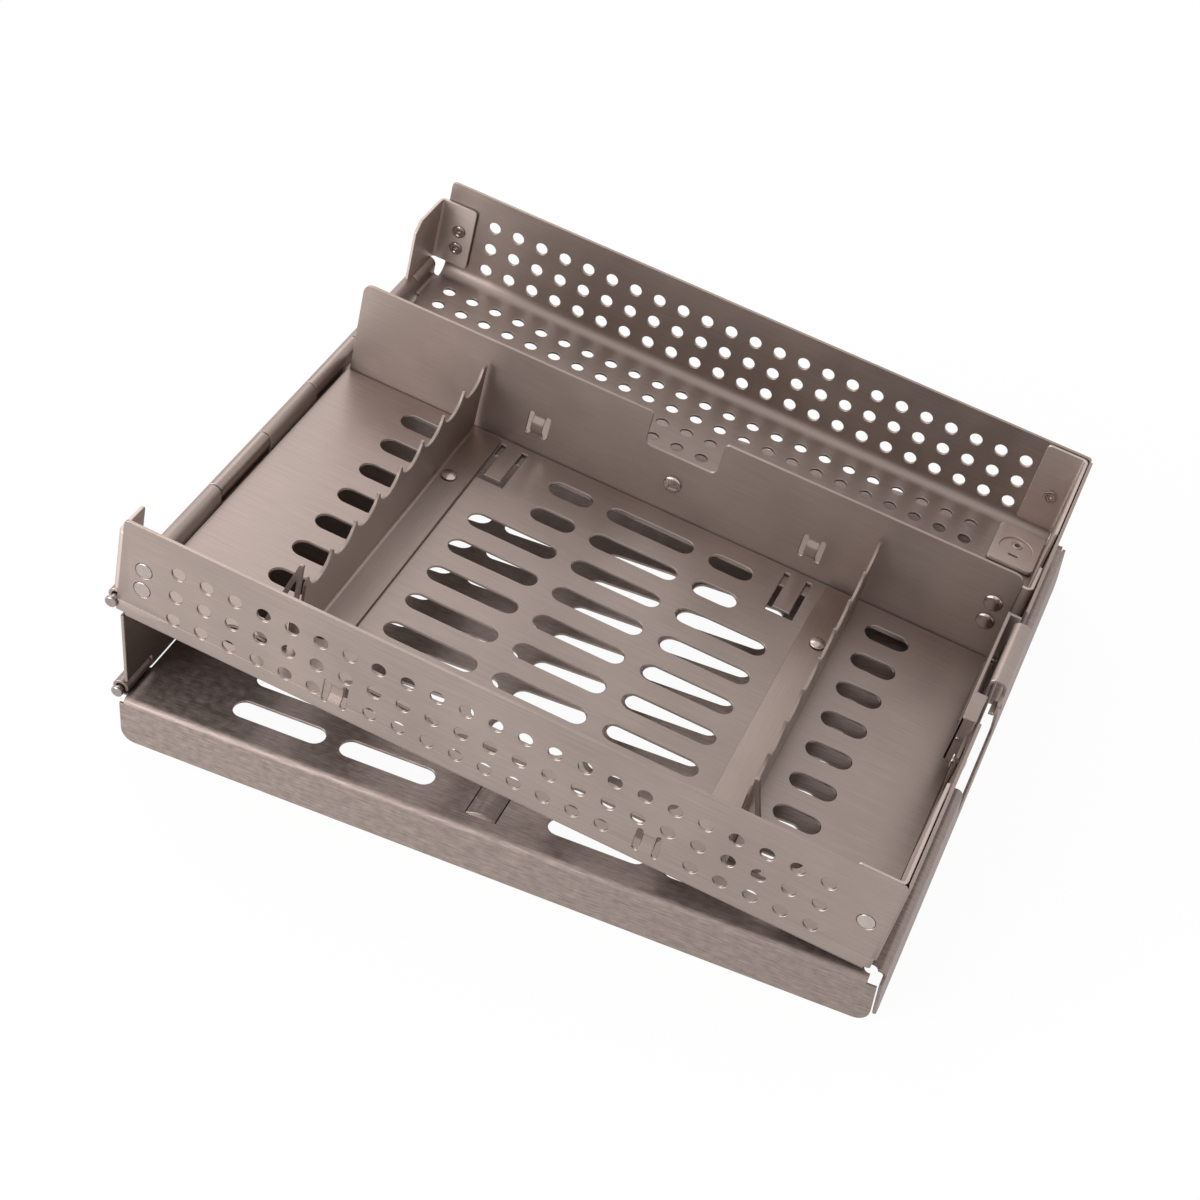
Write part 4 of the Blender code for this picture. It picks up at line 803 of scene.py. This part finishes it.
def lid_outline():
    front, back = LID_FRONT + BEND, LID_BACK - BEND
    right = LID_RIGHT - BEND
    relief_x, relief_front = right - LID_RELIEF, front + LID_RELIEF
    relief_back = back - LID_RELIEF
    lip, lip_end = BEND * QUARTER, LID_RIGHT - SHEET - GAP
    drop = lip + LID_TOP - BEND
    left, lip_left = LID_LEFT, LIP_LEFT
    front_lip = rounded([(left, front, 0), (left, front - lip, 0), (lip_left, front - lip, 0),
                         (lip_left, front - drop, 4), (lip_end, front - drop, 4),
                         (lip_end, front - lip, 0), (relief_x + 0.3, front - lip, 0)])
    relief = arc(relief_x, relief_front, LID_RELIEF_RADIUS, -80, -350, 16)
    end_lip = rounded([(right + lip, relief_front + 0.3, 0), (right + lip, 0.0, 0),
                       (right + drop, 0.0, 4), (right + drop, TRAY_WIDTH, 4),
                       (right + lip, TRAY_WIDTH, 0), (right + lip, relief_back - 0.3, 0)])
    far_relief = arc(relief_x, relief_back, LID_RELIEF_RADIUS, 350, 80, 16)
    back_lip = rounded([(relief_x + 0.3, back + lip, 0), (lip_end, back + lip, 0),
                        (lip_end, back + drop, 4), (lip_left, back + drop, 4),
                        (lip_left, back + lip, 0), (left, back + lip, 0), (left, back, 0)])
    knuckles = []
    for start, end in reversed(OUTER_SPANS):
        tip = -BORE * KNUCKLE_SWEEP
        knuckles += [(left, end), (tip, end), (tip, start), (left, start)]
    return front_lip + relief + end_lip + far_relief + back_lip + knuckles


def build_lid(looks):
    right = LID_RIGHT - BEND
    front, back = LID_FRONT + BEND, LID_BACK - BEND
    holes = [slot(a, b, y, SLOT_WIDTH) for a, b, y in lid_slots()]
    bar_u = right + BEND * QUARTER + LID_TOP - BEND - 5.5
    window_u = LID_RIGHT - 3.4
    holes.append(rounded([(window_u, LID_WINDOW_FRONT, 0.6), (bar_u, LID_WINDOW_FRONT, 1.5),
                          (bar_u, LID_WINDOW_BACK, 1.5), (window_u, LID_WINDOW_BACK, 0.6)]))
    left_u, right_u, width = LID_TONGUE_LEFT, LID_TONGUE_RIGHT, LID_TONGUE_WIDTH
    tip, root, slit = LID_TONGUE_TIP, LID_TONGUE_ROOT, LID_TONGUE_SLIT
    holes.append(u_slit(left_u - slit, right_u + slit, root, tip - slit, slit))
    mesh = blank([lid_outline(), *holes], looks)
    tongue = (left_u - 0.2, right_u + 0.2, tip - 0.2, root)
    crease(mesh, tongue, (1, 0), [left_u + width * step / 8 for step in range(1, 8)])
    crease(mesh, tongue, (0, 1), [root - 0.5 * step for step in range(5)])
    press(mesh, tongue, lambda u, v: -1.1 * smooth_step((root - v) / 2)
          * math.sin(math.pi * min(1, max(0, (u - left_u) / width))))
    fold(mesh, [
        Bend((-FAR, 0, -FAR, FAR), 0, (-1, 0), -1, BORE, KNUCKLE_SWEEP),
        Bend((right, FAR, -0.1, TRAY_WIDTH + 0.1), right, (1, 0), 1, BEND),
        Bend((0.5, LID_RIGHT - 1, -FAR, front), -front, (0, -1), 1, BEND),
        Bend((0.5, LID_RIGHT - 1, back, FAR), back, (0, 1), 1, BEND),
    ])
    place = hinge_frame() @ axes((0, 0, LID_TOP), X, Y, -Z)
    piece("lid_sheet", mesh, place, "lid", ["lid_shell"],
          "coarse_stainless_lid")


def pin_mesh(radius, length, head):
    """Pin along z from 0, with a round head below it where head gives the radius."""
    ease = 0.15
    profile = [(radius, 0), (radius, length - ease), (radius - ease, length), (0, length)]
    if head:
        profile[:0] = [(0, -0.8), (head - 0.35, -0.8), (head - 0.1, -0.65), (head, -0.4),
                       (head, 0)]
    else:
        profile[:1] = [(0, 0), (radius - ease, 0), (radius, ease)]
    return turned(profile)


def build_pins(looks):
    along_y = axes((0, 0, 0), X, -Z, Y)
    wire = "drawn_stainless_pin"
    place = hinge_frame() @ Matrix.Translation((0, -GAP, LID_TOP + BORE)) @ along_y
    piece("hinge_pin_lid", pin_mesh(PIN_RADIUS, PIN_LENGTH, PIN_HEAD), place, "lid",
          ["lid_hinge_pin"], wire)
    place = tray_frame() @ Matrix.Translation((-1.2, -GAP, 4.2)) @ along_y
    piece("hinge_pin_tray", pin_mesh(PIN_RADIUS, PIN_LENGTH, PIN_HEAD), place, "tray",
          ["tray_hinge_pin"], wire)
    place = tray_frame() @ Matrix.Translation((LATCH_PIVOT[0], LATCH_FRONT - 1.8,
                                               LATCH_PIVOT[1])) @ along_y
    piece("latch_pivot_pin", pin_mesh(0.75, 36.8, 0), place, "tray", ["latch_pin"], wire)


# Rivets


def rivet_mesh(flush, dome_radius):
    """Tubular rivet along z: domed or flush head at 0, shank, and a rolled hollow tail."""
    if flush:
        shank = 2.4
        profile = [(0, 0), (2.15, 0), (2.28, 0.08), (2.28, 0.6), (1.2, 0.9)]
    else:
        shank = 2.7
        dome = arc(0, 0, 1, 90, 0, 9)
        profile = [(dome_radius * u, -0.85 * v) for u, v in dome]
        profile += [(dome_radius - 0.1, 0.06), (1.2, 0.06)]
        profile[0] = (0, -0.85)
    profile += [(1.2, shank), (1.9, shank), (2.1, shank + 0.15), (2.0, shank + 0.36),
                (1.65, shank + 0.5), (1.25, shank + 0.48), (0.9, shank + 0.3),
                (0.8, shank - 0.1), (0.8, shank - 0.6), (0, shank - 0.6)]
    return turned(profile)


def build_rivets(looks):
    along_y = axes((0, 0, 0), X, -Z, Y)
    against_y = axes((0, 0, 0), X, Z, -Y)
    against_x = axes((0, 0, 0), Y, -Z, -X)
    down = axes((0, 0, 0), X, -Y, -Z)
    places = []
    names = ("left_upper", "left_lower", "right")
    places += [("front_" + name, (x, 0, z), along_y, True)
               for name, (x, z) in zip(names, WALL_RIVETS)]
    places += [("back_" + name, (x, TRAY_WIDTH, z), against_y, True)
               for name, (x, z) in zip(names, BACK_RIVETS)]
    divider = zip(("right_upper", "right_lower", "foot"),
                  (*SIDE_BRACKET_RIVETS, FOOT_BRACKET_RIVET))
    places += [("divider_" + name, (x, DIVIDER_Y - GAP, z), along_y, False)
               for name, (x, z) in divider]
    places += [("latch_" + name, (TRAY_LENGTH + GAP, y, LATCH_RIVET_Z), against_x, False)
               for name, y in zip(("front", "back"), LATCH_RIVETS_Y)]
    for side, side_name in ((-1, "left"), (1, "right")):
        places += [(f"comb_{side_name}_{name}", (BAY_CENTRE_X + side * COMB_RIVET_X, y, 3.6),
                    down, False) for name, y in zip(("front", "back"), COMB_RIVETS_Y)]
    for name, spot, turn, flush in places:
        place = tray_frame() @ Matrix.Translation(spot) @ turn
        dome_radius = DIVIDER_DOME_RADIUS if name.startswith("divider") else DOME_RADIUS
        piece("set_rivet_" + name, rivet_mesh(flush, dome_radius), place, "tray",
              ["rivet_" + name], "headed_stainless_rivet")


# Latch


def strip_beside(points):
    """The outline of sheet, seen edge on, to the right of a line of points."""
    line = [Vector(point) for point in points]
    other = []
    for index, point in enumerate(line):
        before = line[max(index - 1, 0)]
        after = line[min(index + 1, len(line) - 1)]
        first = (point - before).normalized() if index else (after - point).normalized()
        last = (after - point).normalized() if index < len(line) - 1 else first
        middle = (first + last).normalized()
        normal = Vector((middle.y, -middle.x))
        across = Vector((first.y, -first.x))
        other.append(point + normal * SHEET / max(0.5, normal.dot(across)))
    return [tuple(p) for p in line] + [tuple(p) for p in reversed(other)]


def lever_profiles():
    """Side outlines of the lever: thumb part and hook part."""
    outer, leg, turn, top = 212.6, 207.5, 2.2, 32.9
    skin = arc(*LATCH_PIVOT, 1.1, -300, 0, 20)
    skin += arc(leg + turn, top - turn, turn, 180, 90, 10)
    skin += arc(outer - turn, top - turn, turn, 90, 0, 10)
    skin.append((outer, 27.6))
    thumb = skin + [(outer + 0.08, 26.9), (outer + 0.25, 26.4), (outer + 1.0, 24.4)]
    hook = [(outer, 29.4), *arc(outer - 1.3, 25.1 + 1.3, 1.3, 0, -90, 8), (210.55, 25.1)]
    return strip_beside(thumb), strip_beside(hook)


def build_latch(looks):
    thumb, hook = lever_profiles()
    split = LATCH_FRONT + 5.0
    outward = axes((0, 0, 0), X, Z, Y)
    lever = merged([
        (blank([thumb], looks, LATCH_BACK - split + 0.4),
         Matrix.Translation((0, split - 0.4, 0)) @ outward),
        (blank([hook], looks, split - LATCH_FRONT),
         Matrix.Translation((0, LATCH_FRONT, 0)) @ outward),
    ])
    note_flat(lever)
    piece("latch_lever_strip", lever, tray_frame(), "latch", ["latch_lever"],
          "satin_stainless_comb")

    front, back = LATCH_FRONT - GAP - SHEET, LATCH_BACK + 4.4
    low, high, bay_top = HOUSING_BOTTOM, HOUSING_TOP, 17.8
    plate = [(front, low), (front + SHEET, low), (front + SHEET, bay_top),
             (back - SHEET, bay_top), (back - SHEET, low), (back, low), (back, high),
             (front, high)]
    parts = [(blank([plate], looks), axes((HOUSING_X, 0, 0), Y, Z, X))]
    for start in (front, back - SHEET):
        side = blank([box(HOUSING_X + 0.1, 208.75, low, high)], looks)
        parts.append((side, axes((0, start, 0), X, Z, Y)))
    for start, end, rivet in ((front - 9, front + 0.5, LATCH_RIVETS_Y[0]),
                              (back - 0.5, back + 8.5, LATCH_RIVETS_Y[1])):
        corners = [(start, low, 0.8), (end, low, 0.8), (end, 16.5, 0.8), (start, 16.5, 0.8)]
        foot = blank([rounded(corners), circle(rivet, LATCH_RIVET_Z, RIVET_HOLE)], looks)
        parts.append((foot, axes((207.9, 0, 0), Y, Z, X)))
    inner, outer, tip, root = HOUSING_X + 0.05, 208.6, front - LEDGE_LENGTH, front + 0.45
    ledge = blank([rounded([(inner, tip, 0.5), (outer, tip, 0.5), (outer, root, 0),
                            (inner, root, 0)])], looks)
    parts.append((ledge, Matrix.Translation((0, 0, 30.5))))
    housing = merged(parts)
    note_flat(housing)
    piece("latch_housing_sheet", housing, tray_frame(), "tray", ["latch_housing"],
          "satin_stainless_wall")
    spring = bpy.data.objects["latch_spring"]
    spring.material_slots[0].material = settings_material("drawn_stainless_pin")


# Studio


def direct_rays(tree):
    """A socket that is 1 for what the camera sees, also in a reflection or through glass."""
    path = add_node(tree, "ShaderNodeLightPath")
    mirrored = add_node(tree, "ShaderNodeMath", [(0, path.outputs["Is Glossy Ray"]),
                                                 (1, path.outputs["Is Transmission Ray"])],
                        operation="MAXIMUM")
    direct = add_node(tree, "ShaderNodeMath", [(0, path.outputs["Is Camera Ray"]),
                                               (1, mirrored.outputs["Value"])],
                      operation="MAXIMUM")
    return direct.outputs["Value"]


def paper_floor():
    """White paper, matt, lit from behind so that it stays white round the object's shadow."""
    paper, tree, shader = principled("matt_paper_floor")
    shader.inputs["Base Color"].default_value = (*linear("f8f8f8"), 1)
    shader.inputs["Roughness"].default_value = 0.9
    glow = add_node(tree, "ShaderNodeEmission", Strength=1.0)
    share = add_node(tree, "ShaderNodeMath", [(0, direct_rays(tree))], operation="MULTIPLY")
    share.inputs[1].default_value = 0.95
    mix = add_node(tree, "ShaderNodeMixShader", [(0, share.outputs["Value"]),
                                                 (1, shader.outputs["BSDF"]),
                                                 (2, glow.outputs["Emission"])])
    tree.links.new(mix.outputs["Shader"], tree.nodes["Material Output"].inputs["Surface"])
    return paper


def build_studio(looks):
    """Camera, pale floor, white surroundings and soft lamps."""
    camera = bpy.data.cameras.new("camera")
    camera.lens = looks.lens
    camera.clip_end = 20
    view = linked("camera", camera)
    stand = tray_frame() @ axes(CAMERA_PLACE, CAMERA_RIGHT, -CAMERA_DOWN, -CAMERA_FORWARD)
    view.matrix_world = Matrix.LocRotScale(stand.to_translation(), stand.to_quaternion(), None)
    bpy.context.scene.camera = view

    mesh = bmesh.new()
    bmesh.ops.create_grid(mesh, x_segments=1, y_segments=1, size=3.0)
    data = bpy.data.meshes.new("studio_floor")
    mesh.to_mesh(data)
    mesh.free()
    floor = linked("studio_floor", data)
    floor.location.z = -0.0005
    data.materials.append(paper_floor())

    world = bpy.data.worlds.new("studio")
    bpy.context.scene.world = world
    world.use_nodes = True
    tree = world.node_tree
    tree.nodes.clear()
    seen = add_node(tree, "ShaderNodeBackground", Strength=1.0)
    seen.inputs["Color"].default_value = (1, 1, 1, 1)
    around = add_node(tree, "ShaderNodeBackground", Strength=looks.surroundings)
    around.inputs["Color"].default_value = (*looks.surround_colour, 1)
    mix = add_node(tree, "ShaderNodeMixShader", [(0, direct_rays(tree)),
                                                 (1, around.outputs["Background"]),
                                                 (2, seen.outputs["Background"])])
    add_node(tree, "ShaderNodeOutputWorld", [("Surface", mix.outputs["Shader"])])

    for (name, spot, size), power in ((KEY_LAMP, looks.key_power), (FILL_LAMP, looks.fill_power)):
        lamp = bpy.data.lights.new(name, "AREA")
        lamp.shape = "RECTANGLE"
        lamp.size, lamp.size_y = size
        lamp.energy = power
        holder = linked(name, lamp)
        holder.location = spot
        holder.rotation_euler = (-Vector(spot)).to_track_quat("-Z", "Y").to_euler()


# Operators and panel


def colour_setting(name, description, default):
    """A colour of the panel, with its default in sRGB hex."""
    return bpy.props.FloatVectorProperty(name=name, description=description, subtype="COLOR",
                                         default=linear(default), min=0, max=1)


class CassetteLooks(bpy.types.PropertyGroup):
    """Sizes and colours that the pieces are made with."""

    edge: bpy.props.FloatProperty(
        name="Eased edge", description="Width of the eased edge of cut sheet", unit="LENGTH",
        default=0.00016, min=0.00001, max=0.0003)
    hole_diameter: bpy.props.FloatProperty(
        name="Hole diameter", description="Diameter of the wall and floor holes",
        unit="LENGTH", default=0.0039, min=0.001, max=0.006)
    sheet_colour: colour_setting("Sheet colour", "Colour of the satin sheet", "a5968f")
    # The angles and the corner pad are the same satin sheet as the walls; this lighter colour is
    # painted sheen, standing in for the extra light they catch.
    bracket_painted_sheen_colour: colour_setting(
        "Bracket colour", "Colour of the angles and the corner pad", "cbbcb5")
    lid_colour: colour_setting("Lid colour", "Colour of the lid's coarser sheet", "9c8d87")
    pin_colour: colour_setting("Pin colour", "Colour of the hinge and latch pins", "a69c98")
    rivet_colour: colour_setting("Rivet colour", "Colour of the rivets", "bdb0aa")
    lens: bpy.props.FloatProperty(
        name="Lens", description="Focal length of the camera in millimetres", default=67.4,
        min=20, max=200)
    surroundings: bpy.props.FloatProperty(
        name="Surroundings", description="Brightness of the room that the metal reflects",
        default=0.9, min=0, max=4)
    surround_colour: colour_setting(
        "Surround colour", "Colour of the room that the metal reflects", "fbfaf9")
    key_power: bpy.props.FloatProperty(
        name="Key lamp", description="Power of the main lamp in watts", default=4, min=0,
        max=500)
    fill_power: bpy.props.FloatProperty(
        name="Fill lamp", description="Power of the filling lamp in watts", default=14, min=0,
        max=500)


def build_operator(identifier, label, build, description):
    """An operator class that runs one build function with the panel's settings."""

    def execute(self, context):
        build(context.scene.cassette_looks)
        return {"FINISHED"}

    return type("CASSETTE_OT_" + identifier, (bpy.types.Operator,), {
        "__doc__": description, "bl_idname": "cassette." + identifier, "bl_label": label,
        "bl_options": {"REGISTER", "UNDO"}, "execute": execute,
    })


OPERATORS = tuple(build_operator(*row) for row in (
    ("studio", "Studio", build_studio, "Makes the camera, the floor and the lamps"),
    ("tray_shell", "Tray shell", build_tray_shell, "Folds the perforated tray"),
    ("insert_floor", "Instrument floor", build_insert_floor, "Makes the slotted floor"),
    ("divider", "Divider", build_divider, "Makes the wall behind the instrument bay"),
    ("brackets", "Brackets", build_brackets, "Folds the corner and divider angles"),
    ("combs", "Combs", build_combs, "Folds the two scalloped rails"),
    ("corner_pad", "Corner pad", build_corner_pad, "Makes the small plate on the floor"),
    ("spine", "Spine", build_spine, "Curls the plate between the hinges"),
    ("lid", "Lid", build_lid, "Folds the slotted lid"),
    ("pins", "Pins", build_pins, "Turns the hinge pins and the latch pin"),
    ("rivets", "Rivets", build_rivets, "Sets the rivets"),
    ("latch", "Latch", build_latch, "Makes the latch lever and its housing"),
))


class CASSETTE_PT_pieces(bpy.types.Panel):
    """Lists the pieces, with the sizes and colours they are made with."""

    bl_label = "Cassette"
    bl_idname = "CASSETTE_PT_pieces"
    bl_space_type = "VIEW_3D"
    bl_region_type = "UI"
    bl_category = "Cassette"

    def draw(self, context):
        looks = context.scene.cassette_looks
        for name in CassetteLooks.__annotations__:
            self.layout.prop(looks, name)
        for operator in OPERATORS:
            self.layout.operator(operator.bl_idname)


CLASSES = (CassetteLooks, *OPERATORS, CASSETTE_PT_pieces)


def register():
    for item in CLASSES:
        bpy.utils.register_class(item)
    bpy.types.Scene.cassette_looks = bpy.props.PointerProperty(type=CassetteLooks)


def unregister():
    del bpy.types.Scene.cassette_looks
    for item in reversed(CLASSES):
        bpy.utils.unregister_class(item)


def main():
    register()
    bpy.ops.cassette.studio()
    bpy.ops.cassette.tray_shell()
    bpy.ops.cassette.insert_floor()
    bpy.ops.cassette.divider()
    bpy.ops.cassette.brackets()
    bpy.ops.cassette.combs()
    bpy.ops.cassette.corner_pad()
    bpy.ops.cassette.spine()
    bpy.ops.cassette.lid()
    bpy.ops.cassette.pins()
    bpy.ops.cassette.rivets()
    bpy.ops.cassette.latch()
    bpy.context.scene.view_settings.view_transform = "Standard"


if __name__ == "__main__":
    main()
